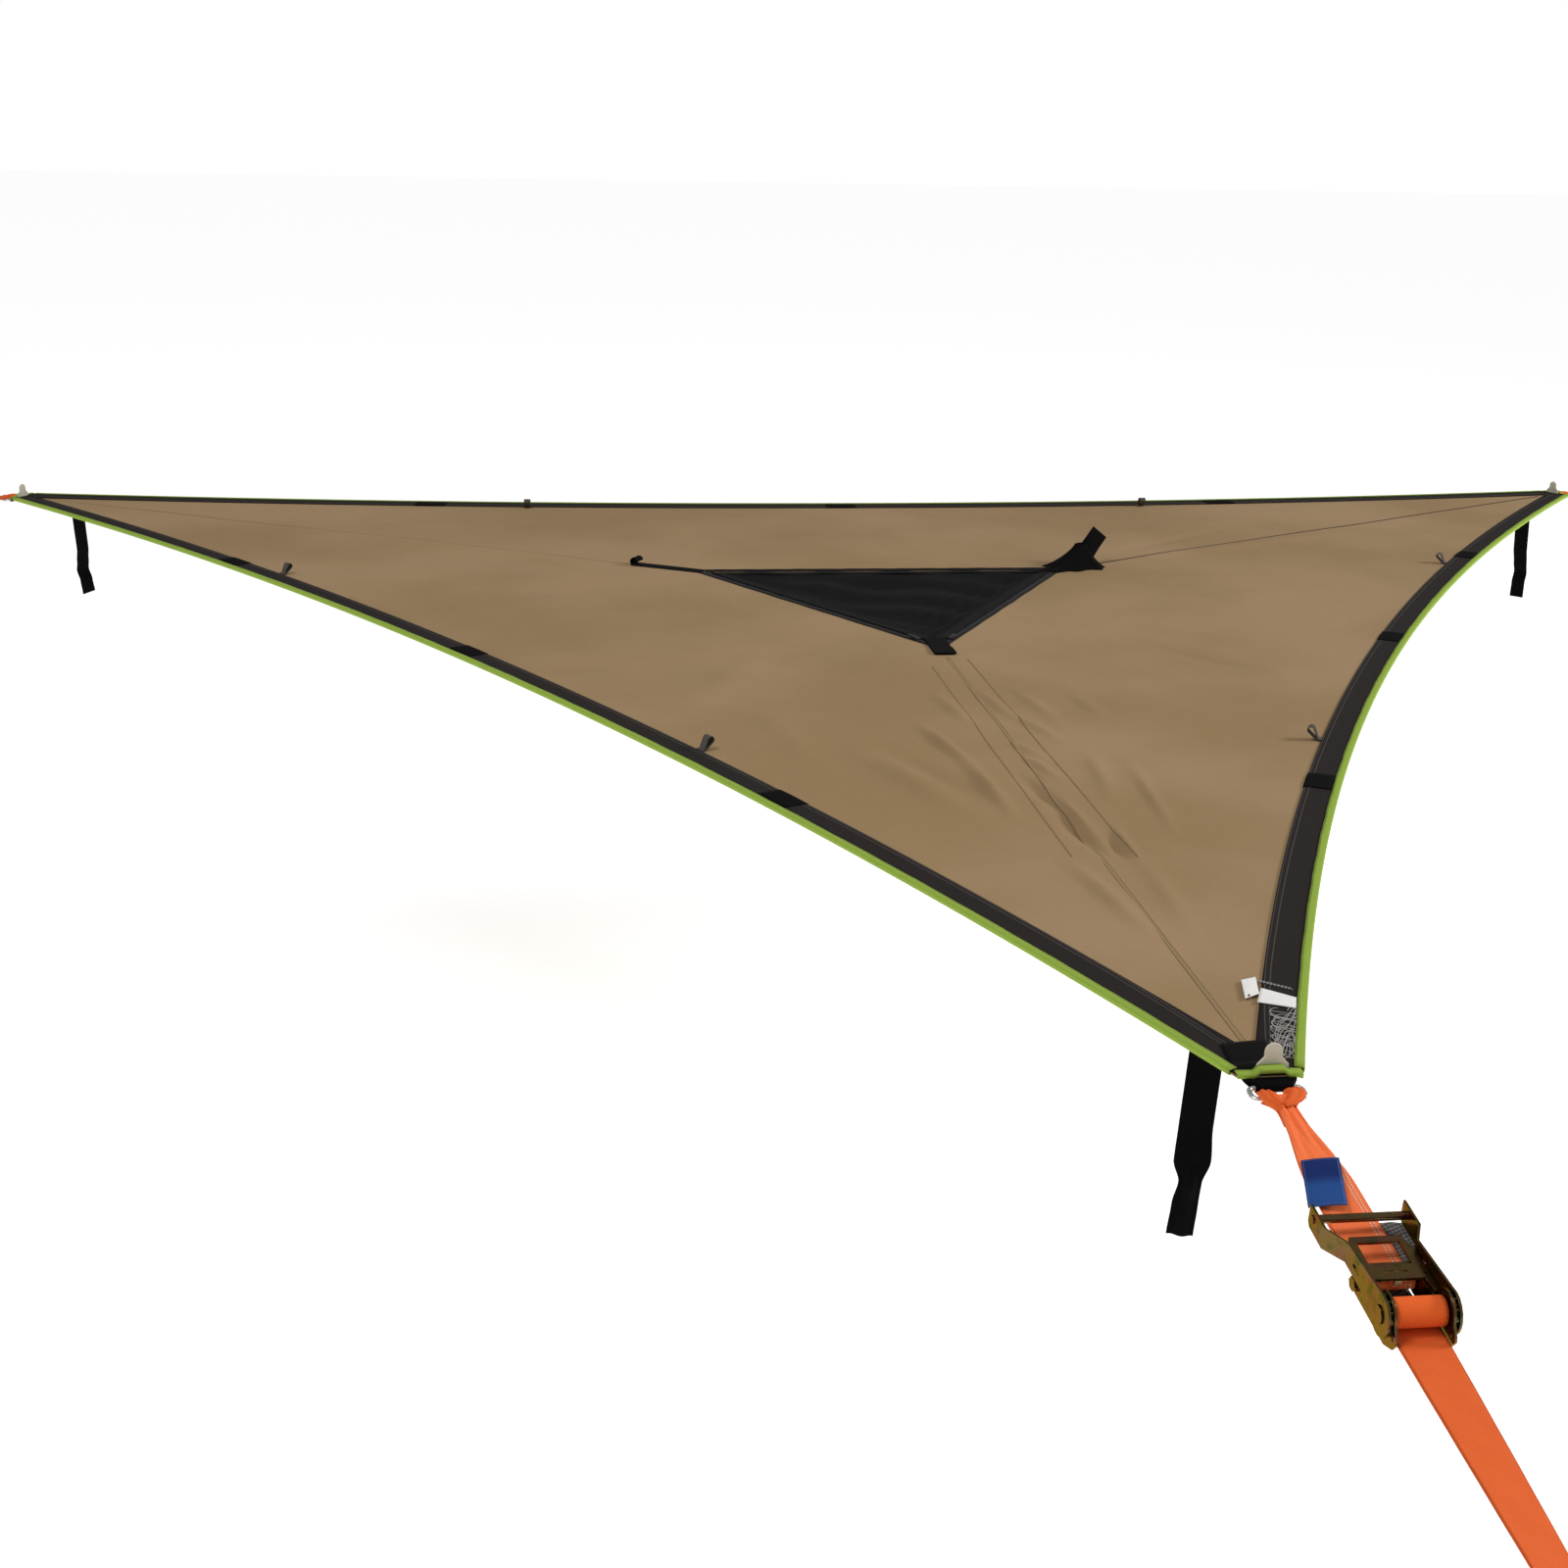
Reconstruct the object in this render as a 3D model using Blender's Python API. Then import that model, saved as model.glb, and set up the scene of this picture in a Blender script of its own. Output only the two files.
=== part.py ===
"""Tree tent: a taut triangular hammock floor hung from three webbing lines.

The origin is the centre of the floor triangle, in the plane of the floor.
The near corner points to -Y, +Z is up, and every length is in metres.
Corner parts are modelled at the near corner and turned about Z for the others.
A line's own frame has its origin on the ring's inner bar, with -Y out along the line.
"""

from math import acos, atan2, cos, hypot, pi, radians, sin, sqrt

import bmesh
import bpy
from mathutils import Euler, Matrix, Vector

# General clearances
GAP = 0.0003
CUT_OVERRUN = 0.002

# Floor and its edges
SIDE_LENGTH = 4.10
EDGE_SAG = 0.172
CORNER_WIDTH = 0.074
FLOOR_THICKNESS = 0.0012
HEM_WIDTH = 0.050
HEM_INSET = 0.003
HEM_THICKNESS = 0.0022
BINDING_THICKNESS = 0.0014
BINDING_REACH = 0.010
KEEPER_LENGTH = 0.075
KEEPER_THICKNESS = 0.0014
EDGE_STEPS = 24

# Corner hardware
BAND_DEPTH = 0.010
BAND_THICKNESS = 0.0016
BAND_ARCH_WIDTH = 0.034
LUG_WIDTH = 0.036
LUG_SHIFT = 0.006
LUG_BASE_HEIGHT = 0.010
TONGUE_WIDTH = 0.020
TONGUE_HEIGHT = 0.021
TONGUE_THICKNESS = 0.0035
LOOP_WIDTH = 0.060
LOOP_THICKNESS = 0.0018
LOOP_SEWN_LENGTH = 0.060
RING_WIRE = 0.006
RING_WIDTH = 0.066
RING_DEPTH = 0.028
RING_CORNER = 0.008
RING_OUT = 0.014

# Webbing of the lines
WEBBING_WIDTH = 0.050
WEBBING_THICKNESS = 0.0020
HITCH_WIDTH = 0.042
NECK_WIDTH = 0.021
NECK_THICKNESS = 0.0046
EYE_RADIUS = 0.013
EYE_SEWN_LENGTH = 0.060
NEAR_LINE_DROP = radians(7.5)
SIDE_LINE_DROP = radians(3.0)
SIDE_LINE_LENGTH = 0.310
NEAR_LINE_LENGTH = 0.816
STRAP_TWIST = radians(24.0)

# Label sewn to the near line
LABEL_WIDTH = 0.038
LABEL_LENGTH = 0.080
LABEL_THICKNESS = 0.0010
LABEL_START = 0.143
LABEL_SKEW = radians(14.0)
LABEL_LIFT = radians(13.0)

# Straps that hang under the corners
HANG_INSET = 0.165
HANG_WIDTH = 0.042
NEAR_HANG_LENGTH = 0.285
RIGHT_HANG_LENGTH = 0.262
LEFT_HANG_LENGTH = 0.232
HANG_THICKNESS = 0.0018
HANG_KINK = 0.006
HANG_SHIFT = 0.012
HANG_DRIFT = 0.015

# Gear loops inside the hem
GEAR_LOOP_WIDTH = 0.016
GEAR_LOOP_FOOT = 0.006
GEAR_LOOP_REACH = 0.024
GEAR_LOOP_RISE = 0.017
GEAR_LOOP_RADIUS = 0.0055
GEAR_LOOP_THICKNESS = 0.0014

# Floor hatch
HATCH_RADIUS = 0.450
FLAP_THICKNESS = 0.0012
FLAP_GAP = 0.0020
ZIP_WIDTH = 0.018
ZIP_THICKNESS = 0.0012
SLIDER_LENGTH = 0.016
SLIDER_WIDTH = 0.010
SLIDER_HEIGHT = 0.0045
PULL_LENGTH = 0.020
PULL_WIDTH = 0.006
PULL_THICKNESS = 0.0012
SLIDER_START = 0.055
HATCH_HEM_WIDTH = 0.022
NEAR_TAB_WIDTH = 0.042
NEAR_TAB_LENGTH = 0.130
LEFT_TAB_WIDTH = 0.016
LEFT_TAB_LENGTH = 0.165
RIGHT_TAB_WIDTH = 0.040
RIGHT_TAB_LENGTH = 0.130
RIGHT_TAB_RISE = 0.070
TAB_THICKNESS = 0.0018

# Ratchet, measured from its drum axis
DRUM_OUT = 0.394
BOLT_TO_DRUM = 0.065
PLATE_THICKNESS = 0.0025
PLATE_INNER = 0.0265
SIDE_CLEARANCE = 0.0003
GEAR_THICKNESS = 0.0030
GEAR_TIP_RADIUS = 0.0200
GEAR_ROOT_RADIUS = 0.0165
GEAR_TEETH = 12
CAM_RADIUS = 0.0215
SPINDLE_RADIUS = 0.0090
SPINDLE_END_RADIUS = 0.0075
SPINDLE_SLOT = 0.0034
BORE_CLEARANCE = 0.0003
BOLT_RADIUS = 0.0050
BOLT_HEAD_RADIUS = 0.0075
BOLT_HEAD_THICKNESS = 0.0053
FRAME_DEPTH = 0.0300
FRAME_NOSE = 0.0280
WEB_THICKNESS = 0.0025
WEB_START = 0.038
WEB_END = 0.055
HANDLE_LENGTH = 0.141
HANDLE_OUTER_WIDTH = 0.096
HANDLE_FLARE_START = 0.086
HANDLE_FLARE_END = 0.113
HANDLE_ROD_RADIUS = 0.0044
HANDLE_ROD_RISE = 0.0005
PAWL_THICKNESS = 0.0030
PAWL_GRIP = 0.1035
PAWL_GRIP_RADIUS = 0.0030
PAWL_TRAVEL = 0.0060
LOCK_THICKNESS = 0.0025
LOCK_LENGTH = 0.0170
LOCK_TRAVEL = 0.0050
LOCK_TILT = radians(30.0)
WRAP_THICKNESS = 0.0016
WRAP_PITCH = 0.0021
WRAP_TURNS = 2.25
SPRING_WIRE = 0.0006
SPRING_RADIUS = 0.0022
SPRING_TURNS = 5

CIRCUMRADIUS = SIDE_LENGTH / sqrt(3.0)
EDGE_LENGTH = SIDE_LENGTH - CORNER_WIDTH * 0.5
FLOOR_TOP = FLOOR_THICKNESS / 2
HEM_TOP = FLOOR_TOP + GAP + HEM_THICKNESS
BAR_DROP = FLOOR_TOP + GAP + LOOP_THICKNESS + GAP + RING_WIRE / 2
GEAR_INNER = PLATE_INNER + PLATE_THICKNESS + SIDE_CLEARANCE
ARM_INNER = GEAR_INNER + GEAR_THICKNESS + SIDE_CLEARANCE
ARM_OUTER = ARM_INNER + PLATE_THICKNESS
WRAP_END_RADIUS = SPINDLE_RADIUS + GAP + WRAP_THICKNESS / 2 + WRAP_PITCH * WRAP_TURNS
DRUM_RISE = WRAP_END_RADIUS + WRAP_THICKNESS / 2 + GAP + WEBBING_THICKNESS / 2
CORNERS = {"near": 0, "right": 1, "left": 2}
SIDES = {"right": 0, "far": 1, "left": 2}


def clear_scene():
    """Removes whatever the scene holds."""
    for obj in list(bpy.data.objects):
        bpy.data.objects.remove(obj, do_unlink=True)


def make_material(name, color, roughness, metallic=0.0):
    """A Principled material with one plain finish."""
    material = bpy.data.materials.new(name)
    material.use_nodes = True
    shader = material.node_tree.nodes["Principled BSDF"]
    shader.inputs["Base Color"].default_value = (*color, 1.0)
    shader.inputs["Roughness"].default_value = roughness
    shader.inputs["Metallic"].default_value = metallic
    return material


def add_object(name, bm, color, roughness, metallic=0.0, parent=None, smooth=0.0):
    """Turns a bmesh into a named object with a material of its own."""
    bmesh.ops.recalc_face_normals(bm, faces=bm.faces)
    mesh = bpy.data.meshes.new(name)
    bm.to_mesh(mesh)
    bm.free()
    obj = bpy.data.objects.new(name, mesh)
    bpy.context.scene.collection.objects.link(obj)
    mesh.materials.append(make_material(name + "_finish", color, roughness, metallic))
    obj.parent = parent
    if smooth:
        mesh.shade_smooth()
        mesh.set_sharp_from_angle(angle=smooth)
    return obj


def add_empty(name, location=(0, 0, 0), rotation=(0, 0, 0), parent=None):
    """An empty that carries parts at a joint or a corner."""
    empty = bpy.data.objects.new(name, None)
    empty.empty_display_size = CORNER_WIDTH
    empty.location = location
    empty.rotation_euler = Euler(rotation)
    empty.parent = parent
    bpy.context.scene.collection.objects.link(empty)
    return empty


def slab(outline, thickness, base=0.0, holes=()):
    """A flat plate in the XY plane: an outline with holes, extruded along Z from base."""
    bm = bmesh.new()
    edges = []
    for loop in (outline, *holes):
        verts = [bm.verts.new((x, y, base)) for x, y in loop]
        edges += [bm.edges.new(pair) for pair in zip(verts, verts[1:] + verts[:1])]
    bmesh.ops.triangle_fill(bm, use_beauty=True, use_dissolve=False, edges=edges)
    top = bmesh.ops.extrude_face_region(bm, geom=bm.faces[:])
    moved = [item for item in top["geom"] if isinstance(item, bmesh.types.BMVert)]
    bmesh.ops.translate(bm, verts=moved, vec=(0, 0, thickness))
    return bm


def loft(rings):
    """One closed body through rings of points, each ring extruded from the last."""
    bm = bmesh.new()
    first = [bm.verts.new(point) for point in rings[0]]
    cap = bm.faces.new(first)
    for ring in rings[1:]:
        made = bmesh.ops.extrude_discrete_faces(bm, faces=[cap])
        cap = made["faces"][0]
        for vert, point in zip(cap.verts, ring):
            vert.co = point
    bm.faces.new(first)
    return bm


def ribbon(path, width, thickness, sides=Vector((1, 0, 0))):
    """A flat band along a path. Widths, thicknesses and side directions may vary by point."""
    count = len(path)
    widths = width if isinstance(width, list) else [width] * count
    depths = thickness if isinstance(thickness, list) else [thickness] * count
    across = sides if isinstance(sides, list) else [sides] * count
    rings = []
    for i, point in enumerate(path):
        along = (path[min(i + 1, count - 1)] - path[max(i - 1, 0)]).normalized()
        side = (across[i] - along * across[i].dot(along)).normalized()
        rise = side.cross(along) * (depths[i] / 2)
        side = side * (widths[i] / 2)
        rings.append([point + side + rise, point - side + rise, point - side - rise, point + side - rise])
    return loft(rings)


def arc(x, y, radius, start, end, steps):
    """Points on an arc in a plane, with angles in radians."""
    angles = [start + (end - start) * i / steps for i in range(steps + 1)]
    return [(x + radius * cos(a), y + radius * sin(a)) for a in angles]


def circle(x, y, radius, steps=20):
    """A closed circle as an outline."""
    return arc(x, y, radius, 0, 2 * pi * (1 - 1 / steps), steps - 1)


def box_outline(x_low, x_high, y_low, y_high):
    """A rectangle as an outline."""
    return [(x_low, y_low), (x_high, y_low), (x_high, y_high), (x_low, y_high)]


def join(obj, other):
    """Joins another solid into obj."""
    attach_boolean(obj, other, "UNION")


def cut(obj, other):
    """Cuts another solid out of obj."""
    attach_boolean(obj, other, "DIFFERENCE")


def attach_boolean(obj, other, operation):
    """A live Boolean whose second solid is hidden from renders."""
    other.hide_render = True
    other.display_type = "WIRE"
    modifier = obj.modifiers.new(operation.lower(), "BOOLEAN")
    modifier.operation = operation
    modifier.solver = "EXACT"
    modifier.object = other


def smooth_step(share):
    """Eases a share from 0 to 1."""
    share = min(max(share, 0.0), 1.0)
    return share * share * (3 - 2 * share)


def edge_point(share, inset=0.0):
    """A point of the right side's inward curve, with its direction, at a share of the side."""
    start = Vector((CORNER_WIDTH / 2, -CIRCUMRADIUS, 0))
    turn = Matrix.Rotation(radians(120), 3, "Z")
    end = turn @ Vector((-CORNER_WIDTH / 2, -CIRCUMRADIUS, 0))
    chord = end - start
    inward = Vector((-chord.y, chord.x, 0)).normalized()
    point = start + chord * share + inward * (4 * EDGE_SAG * share * (1 - share))
    along = (chord + inward * (4 * EDGE_SAG * (1 - 2 * share))).normalized()
    normal = Vector((-along.y, along.x, 0))
    return point + normal * inset, along, normal


def median_share(inset):
    """The share of the side where its curve, moved inward by inset, meets the corner's median."""
    low, high = 0.0, 0.5
    for _ in range(60):
        middle = (low + high) / 2
        if edge_point(middle, inset)[0].x > GAP / 2:
            high = middle
        else:
            low = middle
    return high


def mirror_across_side(points):
    """Points of the first half of a side, mirrored to its second half."""
    axis = Vector((cos(radians(-30)), sin(radians(-30)), 0))
    return [2 * axis * point.dot(axis) - point for point in points]


def side_outline(outer_inset, inner_points):
    """An outline from the side's curve to inner points, cut at the two medians."""
    shares = [i / EDGE_STEPS for i in range(EDGE_STEPS + 1)]
    outer = [edge_point(share, outer_inset)[0] for share in shares]
    near = Vector((GAP / 2, outer[0].y, 0))
    far = mirror_across_side([near])[0]
    points = [near, *outer, far, *inner_points]
    return [(point.x, point.y) for point in points]


def make_floor_panel(name, index, root):
    """A third of the floor, between one side and the hatch, with seams on the medians."""
    corner = Vector((GAP / 2, -HATCH_RADIUS, 0))
    inner = [mirror_across_side([corner])[0], corner]
    bm = slab(side_outline(0.0, inner), FLOOR_THICKNESS, -FLOOR_TOP)
    obj = add_object(name, bm, (0.27, 0.19, 0.11), 0.75, parent=root)
    obj.rotation_euler.z = radians(120 * index)


def hem_section(share, start, lift):
    """The hem's section at a share of the side: flat below, raised by lift inside the binding."""
    inset = HEM_INSET + HEM_WIDTH
    mitre_share = 0.08
    nearest = min(share, 1 - share)
    slid = 1.15 * start * max(1 - nearest / mitre_share, 0.0) + nearest
    inner_share = slid if share < 0.5 else 1 - slid
    outer = edge_point(share, HEM_INSET)[0]
    inner = edge_point(inner_share, inset)[0]
    return hem_ring(outer, inner, lift)


def hem_ring(outer, inner, lift):
    """Points of a hem section between its outer and inner edges."""
    lip = (BINDING_REACH + GAP - HEM_INSET) / HEM_WIDTH
    step = (BINDING_REACH + 2 * GAP - HEM_INSET) / HEM_WIDTH
    low = FLOOR_TOP + GAP
    places = ((0.0, low), (1.0, low), (1.0, HEM_TOP + lift), (step, HEM_TOP + lift), (lip, HEM_TOP), (0.0, HEM_TOP))
    return [outer.lerp(inner, across) + Vector((0, 0, level)) for across, level in places]


def make_hem(name, index, root):
    """Webbing sewn along the edge, mitred on the medians, with three keepers sewn across it."""
    start = median_share(HEM_INSET + HEM_WIDTH)
    step = GAP / EDGE_LENGTH
    half = KEEPER_LENGTH / EDGE_LENGTH / 2
    stations = [(i / EDGE_STEPS, 0.0) for i in range(EDGE_STEPS + 1)]
    keeper_shares = ((0.266, 0.521, 0.750), (0.244, 0.494, 0.750), (0.250, 0.490, 0.744))
    for middle in keeper_shares[index]:
        stations = [s for s in stations if abs(s[0] - middle) > 2 * half]
        stations += [(middle - half - step, 0.0), (middle - half, KEEPER_THICKNESS)]
        stations += [(middle + half, KEEPER_THICKNESS), (middle + half + step, 0.0)]
    near_outer = Vector((GAP / 2, edge_point(0.0, HEM_INSET)[0].y, 0))
    near_inner = edge_point(start, HEM_INSET + HEM_WIDTH)[0]
    far_outer, far_inner = mirror_across_side([near_outer, near_inner])
    rings = [hem_ring(near_outer, near_inner, 0.0)]
    rings += [hem_section(share, start, lift) for share, lift in sorted(stations)]
    rings.append(hem_ring(far_outer, far_inner, 0.0))
    obj = add_object(name, loft(rings), (0.03, 0.027, 0.025), 0.8, parent=root)
    obj.rotation_euler.z = radians(120 * index)


def binding_section(share):
    """The folded binding's section: a channel round the edge of floor and hem."""
    point, _, normal = edge_point(share)
    reach = BINDING_REACH
    thickness = BINDING_THICKNESS
    top = HEM_TOP + GAP
    low = -FLOOR_TOP - GAP
    wall = -GAP
    outline = [
        (reach, top), (reach, top + thickness), (wall - thickness, top + thickness),
        (wall - thickness, low - thickness), (reach, low - thickness), (reach, low),
        (wall, low), (wall, top),
    ]
    return [point + normal * across + Vector((0, 0, rise)) for across, rise in outline]


def make_binding(name, index, root):
    """Lime binding folded over the edge of floor and hem."""
    start = (BAND_DEPTH + 2 * BINDING_THICKNESS) / EDGE_LENGTH
    rings = [binding_section(start + (1 - 2 * start) * i / EDGE_STEPS) for i in range(EDGE_STEPS + 1)]
    obj = add_object(name, loft(rings), (0.33, 0.50, 0.06), 0.6, parent=root)
    obj.rotation_euler.z = radians(120 * index)


def make_corner_band(name, corner):
    """Lime tape across the blunt corner, arched over the lug's foot."""
    outer = -CIRCUMRADIUS - GAP - BAND_THICKNESS
    inner = -CIRCUMRADIUS + BAND_DEPTH
    top = HEM_TOP + GAP
    half = CORNER_WIDTH / 2
    arch = BAND_ARCH_WIDTH / 2
    rise = LUG_BASE_HEIGHT * 0.5
    profile = [(-half, 0.0), (-arch, 0.0), (-arch + rise, rise), (arch - rise, rise), (arch, 0.0), (half, 0.0)]
    rings = []
    for x, lift in profile:
        low = top + lift
        high = low + BAND_THICKNESS
        front = outer + BAND_THICKNESS
        foot = -FLOOR_TOP + lift
        rings.append([
            Vector((x, inner, low)), Vector((x, inner, high)), Vector((x, outer, high)),
            Vector((x, outer, foot)), Vector((x, front, foot)), Vector((x, front, low)),
        ])
    add_object(name, loft(rings), (0.33, 0.50, 0.06), 0.6, parent=corner)


def make_lug(name, corner):
    """Milky moulded lug: a shouldered foot with a round upright tongue."""
    half = LUG_WIDTH / 2
    tongue = TONGUE_WIDTH / 2
    shoulder = LUG_BASE_HEIGHT + (half - tongue) * 0.6
    head = LUG_BASE_HEIGHT + TONGUE_HEIGHT - tongue
    outline = [(-half, 0.0), (half, 0.0), (half, LUG_BASE_HEIGHT * 0.6), (tongue, shoulder)]
    outline += arc(0.0, head, tongue, 0, pi, 10)
    outline += [(-tongue, shoulder), (-half, LUG_BASE_HEIGHT * 0.6)]
    bm = slab(outline, TONGUE_THICKNESS, -TONGUE_THICKNESS)
    place = Matrix.Translation((LUG_SHIFT, -CIRCUMRADIUS + BAND_DEPTH + GAP, HEM_TOP + GAP))
    bmesh.ops.transform(bm, matrix=place @ Matrix.Rotation(radians(90), 4, "X"), verts=bm.verts)
    obj = add_object(name, bm, (0.72, 0.68, 0.58), 0.35, parent=corner, smooth=radians(35))
    bevel = obj.modifiers.new("soft_edge", "BEVEL")
    bevel.width = TONGUE_THICKNESS * 0.25
    bevel.segments = 1


def make_corner_loop(name, corner):
    """Doubled webbing under the corner, looped round the ring's inner bar."""
    bar = -CIRCUMRADIUS - RING_OUT
    centre = -BAR_DROP
    radius = RING_WIRE / 2 + GAP + LOOP_THICKNESS / 2
    top = -FLOOR_TOP - GAP - LOOP_THICKNESS / 2
    below = top - LOOP_THICKNESS - GAP
    inner = -CIRCUMRADIUS + LOOP_SEWN_LENGTH
    edge = -CIRCUMRADIUS - BAND_THICKNESS
    bar_width = (RING_WIDTH - RING_WIRE - 2 * RING_CORNER) * 0.95
    closing = atan2(below - centre, edge - bar) - acos(radius / hypot(edge - bar, below - centre))
    path = [(inner, top), (edge, top)]
    path += [(bar + y, centre + z) for y, z in arc(0.0, 0.0, radius, pi / 2, 2 * pi + closing, 12)]
    path += [(edge, below), (inner, below)]
    widths = [LOOP_WIDTH, LOOP_WIDTH] + [bar_width] * 13 + [LOOP_WIDTH, LOOP_WIDTH]
    points = [Vector((0, y, z)) for y, z in path]
    bm = ribbon(points, widths, LOOP_THICKNESS)
    add_object(name, bm, (0.012, 0.012, 0.014), 0.8, parent=corner)


def make_ring(name, line):
    """Oval steel ring in the line's plane, its inner bar on the line's origin."""
    half = (RING_WIDTH - RING_WIRE) / 2
    depth = RING_DEPTH - RING_WIRE
    turn = half - RING_CORNER
    outline = arc(turn, -RING_CORNER, RING_CORNER, pi / 2, 0, 4)
    outline += arc(turn, RING_CORNER - depth, RING_CORNER, 0, -pi / 2, 4)
    outline += arc(-turn, RING_CORNER - depth, RING_CORNER, -pi / 2, -pi, 4)
    outline += arc(-turn, -RING_CORNER, RING_CORNER, pi, pi / 2, 4)
    curve = bpy.data.curves.new(name, "CURVE")
    curve.dimensions = "3D"
    curve.bevel_depth = RING_WIRE / 2
    curve.bevel_resolution = 2
    spline = curve.splines.new("POLY")
    spline.points.add(len(outline) - 1)
    for point, (x, y) in zip(spline.points, outline):
        point.co = (x, y, 0, 1)
    spline.use_cyclic_u = True
    obj = bpy.data.objects.new(name, curve)
    bpy.context.scene.collection.objects.link(obj)
    curve.materials.append(make_material(name + "_finish", (0.62, 0.62, 0.60), 0.25, 1.0))
    obj.parent = line


def strap_width(reach):
    """The line webbing's width, gathered at the hitch and full beyond the label's start."""
    bar = RING_DEPTH - RING_WIRE
    neck = bar + NECK_WIDTH
    if reach < neck:
        return HITCH_WIDTH + (NECK_WIDTH - HITCH_WIDTH) * smooth_step((reach - bar) / (neck - bar))
    spread = LABEL_START + LABEL_WIDTH - neck
    return NECK_WIDTH + (WEBBING_WIDTH - NECK_WIDTH) * smooth_step((reach - neck) / spread)


def strap_thickness(reach):
    """The line webbing's thickness, heaped where it is gathered."""
    bar = RING_DEPTH - RING_WIRE
    neck = bar + NECK_WIDTH
    if reach < neck:
        share = smooth_step((reach - bar) / (neck - bar))
    else:
        share = 1 - smooth_step((reach - neck) / (LABEL_START - neck))
    return WEBBING_THICKNESS + (NECK_THICKNESS - WEBBING_THICKNESS) * share


def doubled_strap(far_reach, far_radius, near_lap, far_lap):
    """A strap looped round the ring's outer bar and an eye, its two ends sewn back under it."""
    bar = RING_DEPTH - RING_WIRE
    radius = RING_WIRE / 2 + GAP + WEBBING_THICKNESS / 2
    leave = bar + 2.4 * radius
    arrive = far_reach - 1.6 * far_radius - WEBBING_THICKNESS
    path = []

    def ply(start, end, steps, sign):
        for i in range(steps + 1):
            reach = start + (end - start) * i / steps
            path.append((reach, sign * (strap_thickness(reach) + GAP) / 2))

    ply(near_lap, leave, 6, -1)
    path.extend((bar - y, z) for y, z in arc(0, 0, radius, radians(-100), radians(100), 10))
    ply(leave, arrive, 14, 1)
    path.extend((far_reach + y, z) for y, z in arc(0, 0, far_radius, radians(120), radians(-120), 12))
    ply(arrive, far_lap, 3, -1)
    points = [Vector((0, -reach, rise)) for reach, rise in path]
    widths = [strap_width(reach) for reach, _ in path]
    depths = [strap_thickness(max(reach, leave)) if reach > leave - GAP else WEBBING_THICKNESS
              for reach, _ in path]
    return ribbon(points, widths, depths)


def make_side_line(name, line):
    """The short end of a side corner's line, hitched to its ring and ending in a sewn eye."""
    eye = SIDE_LINE_LENGTH - EYE_RADIUS - WEBBING_THICKNESS
    lap = RING_DEPTH + NECK_WIDTH * 2
    bm = doubled_strap(eye, EYE_RADIUS + WEBBING_THICKNESS / 2, lap, eye - EYE_SEWN_LENGTH)
    add_object(name, bm, (0.83, 0.13, 0.03), 0.65, parent=line)


def make_near_short_strap(name, line):
    """The near line's sewn strap, from the ring's outer bar to the ratchet's bolt."""
    bolt = DRUM_OUT - BOLT_TO_DRUM
    radius = BOLT_RADIUS + GAP + WEBBING_THICKNESS / 2
    bm = doubled_strap(bolt, radius, RING_DEPTH + NECK_WIDTH * 2, LABEL_START + LABEL_LENGTH)
    add_object(name, bm, (0.83, 0.13, 0.03), 0.65, parent=line)


def make_label(name, line):
    """Bare label sewn on the near strap, lying a little askew."""
    bm = slab(box_outline(0.0, LABEL_WIDTH, -LABEL_LENGTH, 0.0), LABEL_THICKNESS)
    level = WEBBING_THICKNESS + 3 * GAP
    place = Matrix.Translation((0, -LABEL_START, level)) @ Matrix.Rotation(-LABEL_SKEW, 4, "Z")
    place = place @ Matrix.Translation((-LABEL_WIDTH / 2, 0, 0)) @ Matrix.Rotation(-LABEL_LIFT, 4, "Y")
    bmesh.ops.transform(bm, matrix=place, verts=bm.verts)
    add_object(name, bm, (0.02, 0.10, 0.40), 0.5, parent=line)


def make_tree_strap(name, line):
    """Webbing from under the drum out towards the tree, twisting as it goes, to a sewn eye."""
    eye = NEAR_LINE_LENGTH - EYE_RADIUS - WEBBING_THICKNESS
    radius = EYE_RADIUS + WEBBING_THICKNESS / 2
    flat_from = eye - EYE_SEWN_LENGTH - radius
    steps = 16
    points = []
    sides = []

    def add(reach, rise):
        share = (min(reach, flat_from) - DRUM_OUT) / (flat_from - DRUM_OUT)
        twist = Matrix.Rotation(STRAP_TWIST * max(share, 0.0), 3, "Y")
        points.append(twist @ Vector((0, -reach, rise)))
        sides.append(twist @ Vector((1, 0, 0)))

    start = DRUM_OUT - SPINDLE_RADIUS * 0.5
    for i in range(steps + 1):
        add(start + (flat_from - start) * i / steps, 0.0)
    add(eye - 1.6 * radius, 0.0)
    for reach, rise in arc(eye, 0.0, radius, radians(125), radians(-120), 14):
        add(reach, rise)
    lap = -(WEBBING_THICKNESS + GAP)
    add(eye - 1.6 * radius, lap)
    add(flat_from + radius, lap)
    bm = ribbon(points, WEBBING_WIDTH, WEBBING_THICKNESS, sides)
    add_object(name, bm, (0.83, 0.13, 0.03), 0.65, parent=line)


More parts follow.
